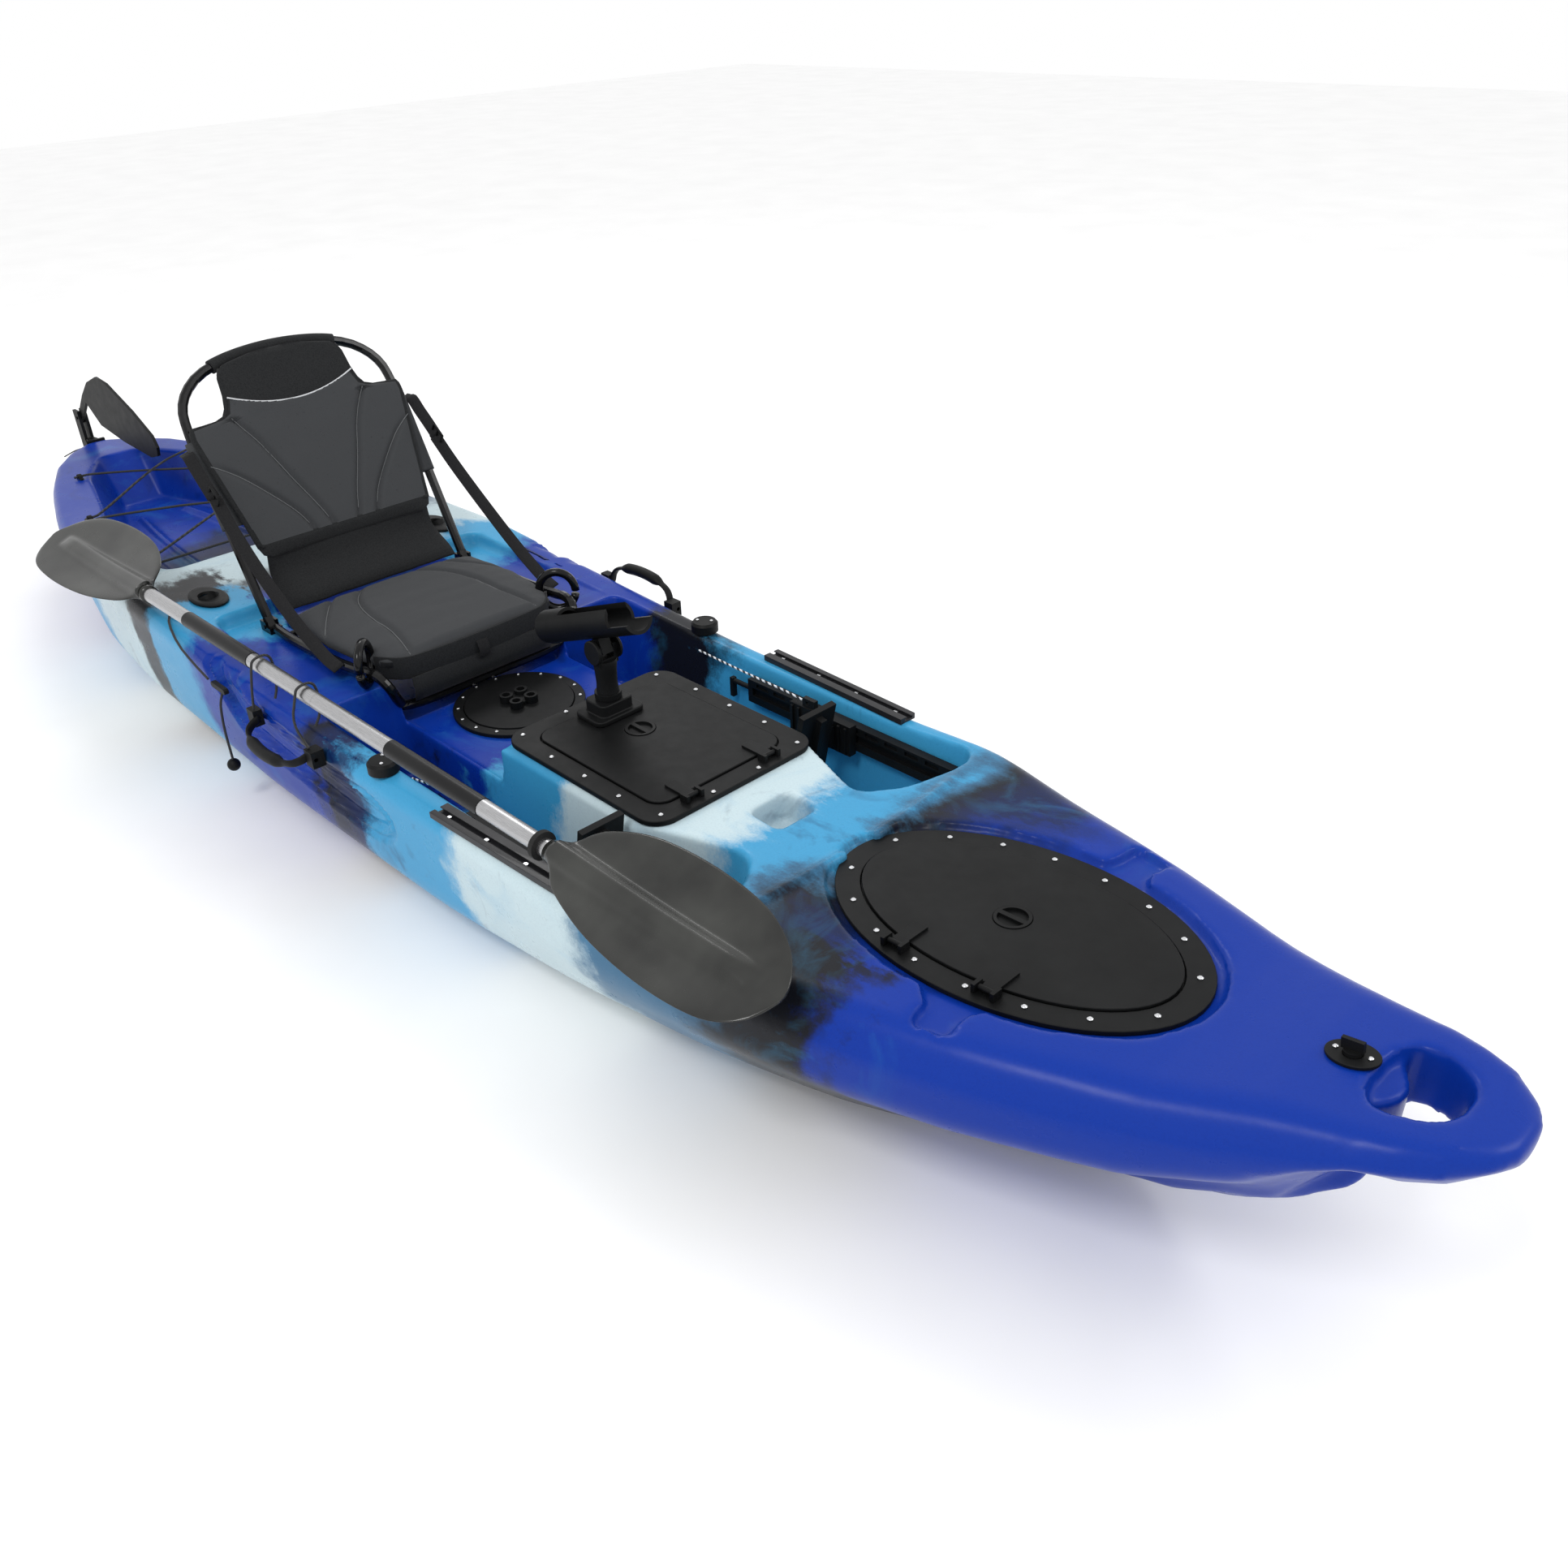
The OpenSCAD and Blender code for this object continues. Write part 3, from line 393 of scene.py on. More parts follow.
STARBOARD = [
    (BLUE, -2.3, -1.30), (CYAN, -1.20, -1.04), (WHITE, -0.98, -0.745), (BLACK, -0.715, -0.60),
    (CYAN, -0.575, -0.40), (BLUE, -0.34, 0.06), (BLACK, 0.11), (DEEP, 0.20), (CYAN, 0.235, 0.53),
    (WHITE, 0.58, 0.84), (STEEL, 0.90, 1.05), (BLACK, 1.12, 1.25), (BLUE, 1.31, 2.3),
]
PORT = [
    (BLUE, -2.3, -1.0), (DEEP, -0.92, -0.78), (WHITE, -0.66, -0.50), (CYAN, -0.45, -0.35),
    (BLUE, -0.29, 0.17), (BLACK, 0.22, 0.33), (CYAN, 0.38, 0.98), (STEEL, 1.04), (BLACK, 1.12),
    (DEEP, 1.24), (BLUE, 1.34, 2.3),
]
MIDDLE = [
    (BLUE, -2.3, -1.32), (DEEP, -1.22), (BLACK, -1.04), (CYAN, -0.98, -0.86), (WHITE, -0.83, -0.60),
    (BLACK, -0.54), (BLUE, -0.47, 0.33), (CYAN, 0.36, 0.56), (WHITE, 0.60, 0.84), (CYAN, 0.90, 1.00),
    (STEEL, 1.04), (BLACK, 1.09), (DEEP, 1.19), (BLUE, 1.28, 2.3),
]
BAND_END = 2.3
SIDE_EDGE = (-0.195, 0.205)
EDGE_FADE = 0.03


def hull_material():
    """Three tables of colour bands, with edges that wander like brushed pigment."""
    m = Nodes("hull_camo")
    x, y, z = m.axes()
    slow = m.math("SUBTRACT", m.noise(3.0, 3, 0.55, warp=1.0), 0.5)
    quick = m.math("SUBTRACT", m.noise(22, 5, 0.65, stretch=(1, 2.2, 0.7)), 0.5)
    grit = m.math("SUBTRACT", m.noise(240, 2, 0.6), 0.5)
    shift = m.add(m.times(slow, 0.34), m.times(quick, 0.11))
    shift = m.add(shift, m.times(grit, 0.030))
    place = m.add(m.add(x, shift), m.times(z, 0.12))
    fac = m.math("DIVIDE", m.add(place, BAND_END), 2 * BAND_END)

    def bands(table):
        return m.ramp(fac, [((x + BAND_END) / (2 * BAND_END), c) for c, *places in table for x in places])

    across = m.add(y, m.times(m.add(slow, quick), 0.16))
    right = m.math("DIVIDE", m.math("SUBTRACT", SIDE_EDGE[0], across), EDGE_FADE, clamp=True)
    left = m.math("DIVIDE", m.math("SUBTRACT", across, SIDE_EDGE[1]), EDGE_FADE, clamp=True)
    color = m.mix(right, bands(MIDDLE), bands(STARBOARD))
    color = m.mix(left, color, bands(PORT))
    # Dark smoke and pale haze over the bands; both fade out towards the bow.
    smoke = m.ramp(m.noise(5.5, 4, 0.6, warp=1.5), [(0.60, (0, 0, 0)), (0.74, (1, 1, 1))])
    bow = m.math("DIVIDE", m.math("SUBTRACT", 1.42, x), 0.2, clamp=True)
    color = m.mix(m.times(smoke, m.times(bow, 0.5)), color, DEEP)
    haze = m.ramp(m.noise(7.0, 5, 0.65, warp=1.0), [(0.30, (1, 1, 1)), (0.46, (0, 0, 0))])
    color = m.mix(m.times(haze, m.times(bow, 0.16)), color, CYAN)
    speck = m.ramp(m.noise(300, 2, 0.5), [(0.25, (0.88, 0.88, 0.90)), (0.55, (1.0, 1.0, 1.0))])
    m.link(m.mix(0.7, color, speck, "MULTIPLY"), m.shader.inputs["Base Color"])
    m.link(m.spread(m.noise(22, 5, 0.6), 0.22, 0.36), m.shader.inputs["Roughness"])
    m.set(Specular_IOR_Level=0.14)
    m.bump(m.noise(380, 3), 0.06, 0.0005)
    m.bump(m.noise(14, 3), 0.12, 0.004)
    return m.mat


def braid_material(name, color, light, scale):
    """Rope or bungee: slanted strands."""
    m = Nodes(name)
    wave = m.node("TexWave", Scale=scale, Distortion=1.0)
    wave.bands_direction = "DIAGONAL"
    m.link(m.place, wave.inputs["Vector"])
    m.link(m.ramp(wave.outputs["Fac"], [(0.35, color), (0.65, light)]), m.shader.inputs["Base Color"])
    m.set(Roughness=0.8)
    m.bump(wave.outputs["Fac"], 0.5, 0.0008)
    return m.mat


MATS = {
    "hull_plastic": hull_material(),
    "black_plastic": plastic("black_nylon", (0.0026, 0.0028, 0.0030), 0.50, 1.8, shine=0.16),
    "seal_rubber": plastic("black_rubber", (0.012, 0.012, 0.012), 0.7, 1.4, 600, 0.2),
    "screw_steel": metal("bright_screw", (0.80, 0.81, 0.83), 0.24, (1, 8, 1)),
    "track_metal": plastic("anodised_black", (0.014, 0.014, 0.016), 0.38, 1.5, 1200, 0.06, 0.1),
    "bungee_cord": braid_material("black_bungee", (0.008, 0.008, 0.008), (0.035, 0.035, 0.036), 150),
    "steering_rope": braid_material("twist_rope", (0.02, 0.02, 0.022), (0.75, 0.77, 0.80), 38),
    "seat_tube": plastic("gloss_tube", (0.002, 0.002, 0.0024), 0.16, 1.4, 300, 0.03, 0.0, 0.25),
    "grey_fabric": weave("grey_marl", (0.0085, 0.0095, 0.0105), (0.046, 0.048, 0.051), 210, 0.92, 0.6, 1.0),
    "black_webbing": weave("black_web", (0.007, 0.007, 0.008), (0.020, 0.020, 0.021), 700, 0.8, 0.5, 0.4),
    "shaft_metal": metal("satin_shaft", (0.50, 0.50, 0.51), 0.26, (0.05, 30, 30)),
    "blade_plastic": plastic("blade_gloss", (0.007, 0.0073, 0.0065), 0.24, 5.0, 500, 0.04, 0.2, 0.35),
}
SLEEVE = plastic("shaft_sleeve", (0.004, 0.004, 0.0045), 0.30, 1.5)
BLACK_CLOTH = weave("black_cloth", (0.006, 0.006, 0.007), (0.020, 0.021, 0.022), 620, 0.88, 0.5, 0.6)
THREAD = weave("pale_thread", (0.10, 0.105, 0.11), (0.20, 0.205, 0.21), 900, 0.8, 0.3, 0.4)
PIPING = weave("white_piping", (0.45, 0.46, 0.48), (0.75, 0.76, 0.78), 700, 0.7, 0.3, 0.4)


def dress(obj, mat):
    obj.data.materials.clear()
    obj.data.materials.append(mat)
    return obj


def dress_cad():
    for row in record["subparts"]:
        obj = bpy.data.objects.get(row["node"])
        if obj is not None:
            dress(obj, MATS[row["material_slot"]])


def fit(obj, body, slot_name, *nodes, mat=None):
    """Fixes a piece to a body and gives it its slot's material, or another."""
    dress(on(obj, body, slot_name, *nodes), mat or MATS[slot_name])


def bind(obj, body):
    fit(obj, body, "black_webbing", mat=BLACK_CLOTH)


# ---- Free cord ----------------------------------------------------------

CORD_WIDTH = 0.005


def make_toggle_cord():
    """The cord that hangs from its cleat to the ball."""
    route = cut_corners(mm([
        (-262, -417, 270), (-266, -424, 250), (-270, -426, 225), (-276, -426, 200),
        (-282, -425, 170), (-288, -423, 140), (-294, -421, 112),
    ]), 2)
    cord = tube("toggle_cord_line", route, CORD_WIDTH / 2, 12)
    fit(cord, "root", "bungee_cord", "toggle_cord")


# ---- Hull ---------------------------------------------------------------

# Hull lines against length (millimetres): deck and chine width as parts of the beam, keel and deck height.
HALF_BEAM = 410
STERN = -1950
BEAM = [
    (-1950, .10), (-1900, .25), (-1800, .42), (-1650, .58), (-1400, .77), (-1100, .90), (-800, .975),
    (-500, 1.0), (-200, 1.0), (100, .98), (300, .96), (400, .95), (700, .95), (800, .94), (1000, .905),
    (1200, .825), (1400, .70), (1600, .53), (1720, .42), (1780, .37), (1820, .335), (1860, .295),
    (1900, .24), (1935, .155), (1950, .08),
]
CHINE = [
    (-1950, .02), (-1900, .09), (-1800, .22), (-1650, .42), (-1400, .68), (-1100, .87), (-800, .94),
    (-200, .97), (400, .93), (700, .84), (1000, .70), (1200, .55), (1400, .33), (1600, .13), (1720, .12),
    (1820, .20), (1860, .21), (1900, .16), (1950, .04),
]
KEEL = [
    (-1950, 255), (-1900, 180), (-1800, 95), (-1650, 35), (-1400, 0), (1200, 0), (1400, 12), (1600, 50),
    (1720, 125), (1780, 235), (1820, 286), (1860, 302), (1900, 316), (1950, 352),
]
SHEER = [
    (-1950, 318), (-1800, 320), (-1400, 314), (-800, 325), (-500, 325), (-200, 305), (100, 295),
    (300, 290), (800, 290), (1000, 310), (1600, 342), (1720, 368), (1820, 384), (1860, 388), (1900, 391),
    (1950, 388),
]


def lookup(x, line):
    """Value at x on a table of straight segments."""
    if x <= line[0][0]:
        return line[0][1]
    for (a, u), (b, v) in zip(line, line[1:]):
        if x <= b:
            return u + (v - u) * (x - a) / (b - a)
    return line[-1][1]


def eased(x, line, reach=60):
    """The same with rounded kinks, except near the ends."""
    if abs(x) >= 1700:
        return lookup(x, line)
    return (lookup(x - reach, line) + 2 * lookup(x, line) + lookup(x + reach, line)) / 4


def hull_ring(x):
    """Hull section at x; k is 1 along the bow, where the deck edge is a wide soft shoulder."""
    w = eased(x, BEAM) * HALF_BEAM
    c = eased(x, CHINE) * HALF_BEAM * 0.98
    low = lookup(x, KEEL)
    top = eased(x, SHEER, 40)
    h = top - low
    k = clamp((x - 950) / 280, (1960 - x) / 300)
    k = k * k * (3 - 2 * k)
    slope = min(14 + 24 * k, 14 + 0.2 * w * k)
    drop = min(22 + 26 * k, 0.3 * h)
    half = [(max(c, 1) * 0.6, low), (max(c, 2), low + 0.2 * h), (w * 0.985, low + 0.62 * h), (w, top - drop),
            (max(w - slope, 1), top)]
    outline = half + [(-a, b) for a, b in reversed(half)]
    soft = [min(90, h), min(70, 0.5 * h), min(60, 0.5 * h), 10, 12 + min(30 * k, 0.1 * h)]
    ring = fillet([Vector(p) for p in outline], soft + soft[::-1], 5)
    return [Vector((x, p.x, p.y)) / 1000 for p in ring]


def ellipse(cx, cy, a, b, n=64):
    return [(cx + a * c, cy + b * s) for c, s in circle(n)]


def rounded(points, radius):
    return fillet([Vector(p) for p in points], radius)


DECK_TOP = 330
ABOVE_DECK = 600


def well(name, top, bottom, floor):
    """Drafted pocket between two outlines (millimetres)."""
    low, high = rounded(bottom, 30), rounded(top, 30)
    levels = ((low, floor), (high, DECK_TOP), (high, ABOVE_DECK))
    return loft(name, [[Vector((p.x, p.y, z)) / 1000 for p in outline] for outline, z in levels])


def both(name, top, bottom, floor):
    return [well(name, top, bottom, floor), well(name + "_m", mirrored(top), mirrored(bottom), floor)]


def blob(name, outline, low, high, taper=0.0, place=Matrix()):
    """Upright solid over an outline (millimetres)."""
    outline = [(p[0] / 1000, p[1] / 1000) for p in outline]
    return prism(name, outline, low / 1000, high / 1000, taper / 1000, place)


BOW = leaning((1.295, 0, 0.320), -3.06)
FOOT_FLOOR = 110
FOOT_AFT = ([(-10, 186), (757, 184), (757, 343), (-10, 350)], [(25, 196), (740, 198), (740, 316), (25, 322)])
FOOT_FORE = ([(700, 186), (905, 112), (955, 165), (985, 290), (960, 343), (700, 343)],
             [(700, 198), (850, 150), (915, 190), (955, 270), (945, 318), (700, 316)])
TANK = ([(-1790, -55), (-1650, -140), (-1300, -232), (-900, -285), (-810, -270), (-810, 270), (-900, 285),
         (-1300, 232), (-1650, 140), (-1790, 55)],
        [(-1700, -60), (-1650, -70), (-1300, -190), (-900, -250), (-840, -240), (-840, 240), (-900, 250),
         (-1300, 190), (-1650, 70), (-1700, 60)])
HANDLE_HOLE = [
    (1792, -60), (1822, -14), (1822, 14), (1792, 60), (1846, 62), (1882, 30), (1882, -30), (1846, -62),
]
HATCH_NOTCHES = ([(-6, -165), (0, -195), (26, -214), (34, -256), (88, -244), (80, -204), (104, -165)],
                 [(4, 165), (16, 190), (26, 210), (31, 256), (92, 242), (84, 204), (104, 165)])
ROD_X, ROD_Y = -0.589, 0.28


def hull_cutters():
    cut = both("foot_a", *FOOT_AFT, FOOT_FLOOR) + both("foot_b", *FOOT_FORE, FOOT_FLOOR)
    cut.append(well("seat_ledge", [(-490, -322), (-5, -345), (-5, 345), (-490, 322)],
                    [(-480, -315), (-5, -340), (-5, 340), (-480, 315)], 295))
    cut.append(well("seat_pit", [(-440, -205), (10, -205), (10, 205), (-440, 205)],
                    [(-415, -190), (10, -190), (10, 190), (-415, 190)], 205))
    cut.append(blob("day_shelf", [(0, -190), (345, -190), (345, 190), (0, 190)], 217, ABOVE_DECK))
    cut.append(well("tank", *TANK, 195))
    cut.append(blob("bow_recess", ellipse(0, 0, 300, 192), -8.3, 80, 0, BOW))
    cut.append(blob("bow_handle", rounded(HANDLE_HOLE, 20), 60, ABOVE_DECK))
    cut.append(blob("bow_scoop", ellipse(1806, 0, 26, 62, 32), 362, ABOVE_DECK, 8))
    # Holds under the bow and day hatches.
    cut.append(blob("bow_hold", ellipse(0, 0, 228, 122), -270, 60, 40, BOW))
    cut.append(blob("day_hold", ellipse(124, 0, 92, 92), 12, 260))
    for side in HATCH_NOTCHES:
        cut.append(blob("notch", rounded(side, 8), -9.5, 60, 0, BOW))
    return cut


def boolean(obj, tools, op):
    for t in tools:
        apply(obj, "BOOLEAN", operation=op, solver="EXACT", object=t)
        bpy.data.objects.remove(t)


def make_pedestal(hull):
    """The console block between the footwells, with its cup, hold and the two rod tubes' holes."""
    block = blob("pedestal", rounded([(345, -178), (905, -178), (905, 178), (345, 178)], 46), 150, 300)
    feet = both("foot_c", *FOOT_AFT, FOOT_FLOOR) + both("foot_d", *FOOT_FORE, FOOT_FLOOR)
    boolean(block, feet, "DIFFERENCE")
    boolean(hull, [block], "UNION")
    cup = blob("cup", rounded([(812, -40), (888, -46), (888, 46), (812, 40)], 14), 246, 400, 4)
    hold = blob("console_hold", rounded([(401, -125), (701, -125), (701, 125), (401, 125)], 20), 12, 400)
    rods = []
    for s in (1, -1):
        place = leaning((ROD_X, ROD_Y * s, 0.328), -30)
        rods.append(blob("rod_hole", ellipse(0, 0, 25, 25, 24), -200, 60, 0, place))
    boolean(hull, [cup, hold] + rods, "DIFFERENCE")


# Raised lines on the port half (millimetres) with their radius: cup rim, foredeck step, tank floor ribs.
RIDGES = (
    ([(906, 0, 291), (904, 52, 291), (892, 62, 291), (808, 56, 291), (797, 46, 291), (795, 0, 291)], 0.008),
    ([(1015, 30, 309), (1012, 120, 308), (1004, 200, 306), (985, 300, 300)], 0.010),
    ([(-1560, 60, 196), (-1300, 90, 196), (-900, 110, 196)], 0.010),
    ([(-1440, 120, 196), (-1250, 160, 196), (-900, 190, 196)], 0.010),
)
RIM = (0.307, 0.199)
FIN = [
    (1610, 75), (1720, 150), (1790, 270), (1806, 290), (1812, 236), (1800, 200), (1740, 132), (1680, 84),
    (1632, 57),
]
FIN_HALF = 12


def make_ridges():
    ridges = []
    for s in (1, -1):
        for route, radius in RIDGES:
            route = [(x, s * y, z) for x, y, z in route]
            ridges.append(tube("r", curve_points(mm(route), 0.02), radius, 8))
    for start, stop in ((93, 268), (-67, 68)):
        angles = [radians(a) for a in range(start, stop, 5)]
        arc = [BOW @ Vector((RIM[0] * cos(a), RIM[1] * sin(a), -0.001)) for a in angles]
        ridges.append(tube("hatch_rim", arc, 0.006, 8))
    return ridges


def make_hull():
    """Lofted shell with its wells cut, remeshed and smoothed so that every edge is a moulded radius."""
    xs = sorted(set([STERN + 15 * k for k in range(261)] + [p[0] for p in BEAM]))
    hull = loft("kayak_hull", [hull_ring(x) for x in xs])
    boolean(hull, hull_cutters(), "DIFFERENCE")
    make_pedestal(hull)
    ridges = make_ridges()
    fin = [[Vector((p.x, y, p.y)) / 1000 for p in rounded(FIN, 16)] for y in (-FIN_HALF, FIN_HALF)]
    boolean(hull, [loft("keel_fin", fin)], "UNION")
    for r in ridges:
        apply(r, "REMESH", mode="VOXEL", voxel_size=0.004)
    boolean(hull, ridges, "UNION")
    apply(hull, "REMESH", mode="VOXEL", voxel_size=0.0055, use_smooth_shade=True)
    apply(hull, "SMOOTH", factor=0.5, iterations=5)
    ends = hull.vertex_groups.new(name="ends")
    tips = [v.index for v in hull.data.vertices if v.co.x > 1.90 or (v.co.x > 1.55 and v.co.z < 0.30)]
    ends.add(tips, 1.0, "ADD")
    apply(hull, "SMOOTH", factor=0.5, iterations=24, vertex_group="ends")
    press_sides(hull)
    fit(hull, "root", "hull_plastic", "hull_shell", "keel_skid")


def off_segment(x, y, start, stop):
    """Distance of a point from a straight segment."""
    (a, b), (c, d) = start, stop
    ex, ey = c - a, d - b
    t = clamp(((x - a) * ex + (y - b) * ey) / (ex * ex + ey * ey))
    return hypot(x - a - t * ex, y - b - t * ey)


def inside(x, z, loop):
    """Signed distance to a closed outline, positive inside."""
    best = 1e9
    odd = False
    for (a, b), (c, d) in zip(loop, loop[1:] + loop[:1]):
        best = min(best, off_segment(x, z, (a, b), (c, d)))
        if (b > z) != (d > z) and x < a + (z - b) / (d - b) * (c - a):
            odd = not odd
    return best if odd else -best


SIDE_OVAL = [
    (-350, 320), (-278, 262), (-240, 210), (60, 172), (200, 160), (262, 170), (293, 206), (240, 232),
    (80, 240), (-120, 262), (-230, 300), (-270, 330),
]
PRESS_DEPTH = 0.015
LIP_HEIGHT = 0.009
STEP_HEIGHT = 0.004


def press_sides(hull):
    """Presses the long oval into each side, with a lip outside its edge and a small step inside it."""
    loop = [tuple(p) for p in fillet([Vector(p) / 1000 for p in SIDE_OVAL], 0.05, 4)]
    for v in hull.data.vertices:
        x, y, z = v.co
        if abs(y) < 0.36 or not -0.42 < x < 0.36 or z > 0.335:
            continue
        d = inside(x, z, loop)
        if d > -0.02:
            t = clamp((d + 0.003) / 0.009)
            lip = exp(-((d + 0.012) / 0.007) ** 2) * LIP_HEIGHT
            step = exp(-((d - 0.022) / 0.005) ** 2) * STEP_HEIGHT
            v.co.y -= copysign(PRESS_DEPTH * t * t * (3 - 2 * t) - lip - step, y)


# ---- Hard parts with softened edges --------------------------------------

SOFTEN = {
    "bow_hatch_frame": 0.0015, "bow_hatch_lid": 0.0015, "bow_hatch_hinges": 0.001, "bow_hatch_straps": 0.0012,
    "bow_hatch_latch": 0.0012, "console_frame": 0.002, "console_lid": 0.0015, "console_hinges": 0.001,
    "console_straps": 0.0012, "console_latch": 0.0012, "day_hatch_frame": 0.0015, "day_hatch_lid": 0.001,
    "day_hatch_knob": 0.002, "rod_holder_base": 0.0025, "rod_holder_stem": 0.0015, "rod_holder_cradle": 0.002,
    "gunwale_caps": 0.002, "handle_bases": 0.0025,
    "pad_eyes": 0.001, "bow_drain_base": 0.001, "bow_drain_plug": 0.0012, "foot_rails": 0.0015,
    "foot_carrier_port": 0.0025, "foot_carrier_starboard": 0.0025, "foot_pedal_port": 0.0025,
    "foot_pedal_starboard": 0.0025, "foot_adjuster_port": 0.0015, "foot_adjuster_starboard": 0.0015,
    "rudder_head": 0.002, "rudder_blade": 0.002, "gear_tracks": 0.0006,
}


def soften_parts():
    """A copy of each hard part whose edges are broken, as moulded parts are."""
    slots = {row["node"]: row["material_slot"] for row in record["subparts"]}
    body_of = {n: b for b, names in record["behaviour"]["bodies"].items() for n in names}
    for node, width in SOFTEN.items():
        source = bpy.data.objects[node]
        obj = show(bpy.data.objects.new(node + "_soft", source.data.copy()))
        bm = bmesh.new()
        bm.from_mesh(obj.data)
        bmesh.ops.remove_doubles(bm, verts=bm.verts, dist=0.00002)
        bmesh.ops.dissolve_limit(bm, angle_limit=radians(1.5), verts=bm.verts, edges=bm.edges)
        bm.to_mesh(obj.data)
        bm.free()
        apply(obj, "BEVEL", width=width, segments=2, limit_method="ANGLE", angle_limit=radians(40),
                 use_clamp_overlap=True)
        shade(obj, 50)
        apply(obj, "WEIGHTED_NORMAL", keep_sharp=True, weight=90)
        fit(obj, body_of[node], slots[node], node)


STEM_COLUMN = (
    (0.0, 0.0235), (0.010, 0.0235), (0.020, 0.0205), (0.045, 0.0185), (0.070, 0.0195), (0.084, 0.0215),
    (0.090, 0.0205),
)
STEM_CHEEK = ((0.0205, 0.0225), (0.0245, 0.0225), (0.0262, 0.0205))
CHEEK_HEIGHT = 0.108


def make_rod_stand():
    """The stout moulded column and rounded cheeks around the rod holder's post."""
    low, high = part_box("rod_holder_stem")
    cx, z0 = (low[0] + high[0]) / 2, low[2]
    column = loft("rod_stem_column", [[Vector((cx + r * c, r * s, z0 + z)) for c, s in circle(32)]
                                      for z, r in STEM_COLUMN])
    shade(column, 40)
    fit(column, "rod_stem", "black_plastic")
    for side in (1, -1):
        cheek = loft("rod_stem_cheek", [[Vector((cx + r * c, side * y, z0 + CHEEK_HEIGHT + r * s))
                                         for c, s in circle(32)][::side] for y, r in STEM_CHEEK])
        shade(cheek, 40)
        fit(cheek, "rod_stem", "black_plastic")


RIB_COUNT, RIB_STEP, RIB_THICK, RIB_HEIGHT = 9, 0.0165, 0.005, 0.0045
PEDAL_X, PEDAL_REACH = 0.648, 0.048


def make_brace_ribs():
    """Upright stiffening ribs on the inner face of each foot brace carrier, clear of the pedal."""
    for side, s in (("port", 1), ("starboard", -1)):
        low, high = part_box("foot_carrier_" + side)
        face = low[1] if s > 0 else high[1]
        foot, head = low[2] + 0.004, low[2] + 0.056
        for k in range(RIB_COUNT):
            x = low[0] + 0.006 + k * RIB_STEP
            if abs(x - PEDAL_X) < PEDAL_REACH:
                continue
            corners = ((x, foot), (x + RIB_THICK, foot), (x + RIB_THICK, head), (x, head))
            rib = loft("brace_rib", [[Vector((a, face - s * out, z)) for a, z in corners]
                                     for out in (-0.001, RIB_HEIGHT)])
            shade(rib, 30)
            fit(rib, "carrier_" + side, "black_plastic")


# Half length, half width and height of each ring of a rod tube's collar.
COLLAR = ((0.027, 0.0255, 0.3262), (0.060, 0.034, 0.3262), (0.062, 0.036, 0.3275), (0.062, 0.036, 0.330),
          (0.058, 0.032, 0.3325), (0.031, 0.028, 0.3325), (0.027, 0.0255, 0.330))


def make_rod_flanges():
    """Long oval collars round the two flush rod tubes behind the seat."""
    for side in (1, -1):
        rings = [[Vector((ROD_X + long * c, ROD_Y * side + wide * s, z)) for c, s in circle(48)]
                 for long, wide, z in COLLAR]
        rings.append([p.copy() for p in rings[0]])
        flange = loft("rod_tube_flange", rings, False)
        shade(flange, 50)
        fit(flange, "root", "black_plastic")


# A carry strap's place along the hull and its height over the pivots.
ARCH = [
    (-0.112, 0), (-0.103, 0.001), (-0.099, 0.018), (-0.085, 0.033), (-0.050, 0.0425), (-0.005, 0.046),
    (0.040, 0.0425), (0.074, 0.033), (0.088, 0.018), (0.092, 0.001), (0.101, 0),
]
PIVOT_Y, PIVOT_Z = 0.419, 0.276


def make_carry_handles():
    """A strap arched between its two end blocks, swelling into a moulded grip."""
    for side, s, lift in (("port", 1, 80), ("starboard", -1, -20)):
        turn = radians(lift)
        out = Vector((0, s * cos(turn), sin(turn)))
        base = Vector((0, s * PIVOT_Y, PIVOT_Z))
        path = curve_points([base + Vector((x, 0, 0)) + out * r for x, r in ARCH], 0.004)
        rings = []
        for i, p in enumerate(path):
            along = (path[min(i + 1, len(path) - 1)] - path[max(i - 1, 0)]).normalized()
            flat = along.cross(out).normalized().cross(along)
            across = flat.cross(along)
            grip = clamp((p.x + 0.066) / 0.016, (0.056 - p.x) / 0.016) ** 0.5
            wide, thick = 0.0085 + 0.0035 * grip, 0.004 + 0.0075 * grip
            rings.append([p + across * (wide * c) + flat * (thick * d) for c, d in circle(20)])
        fit(loft("carry_strap_" + side, rings), "handle_" + side, "black_plastic", "carry_handle_" + side)


# ---- Seat ----------------------------------------------------------------

BACK = leaning((-0.405, 0, 0.306), -26.5)


def on_back(x, y, z):
    """A point given on the leaning backrest: forward, sideways and up along it."""
    return BACK @ Vector((x, y, z))


def groove(x, y, lines, sigma):
    """How deep a sewn line sinks at a point, 0 to 1."""
    best = min(off_segment(x, y, *ends) for line in lines for ends in zip(line, line[1:]))
    return exp(-(best / sigma) ** 2)


def flat_line(points):
    """Smooth line in a plane, from millimetres."""
    return [(p.x, p.y) for p in curve_points([(a / 1000, b / 1000, 0) for a, b in points], 0.02)]


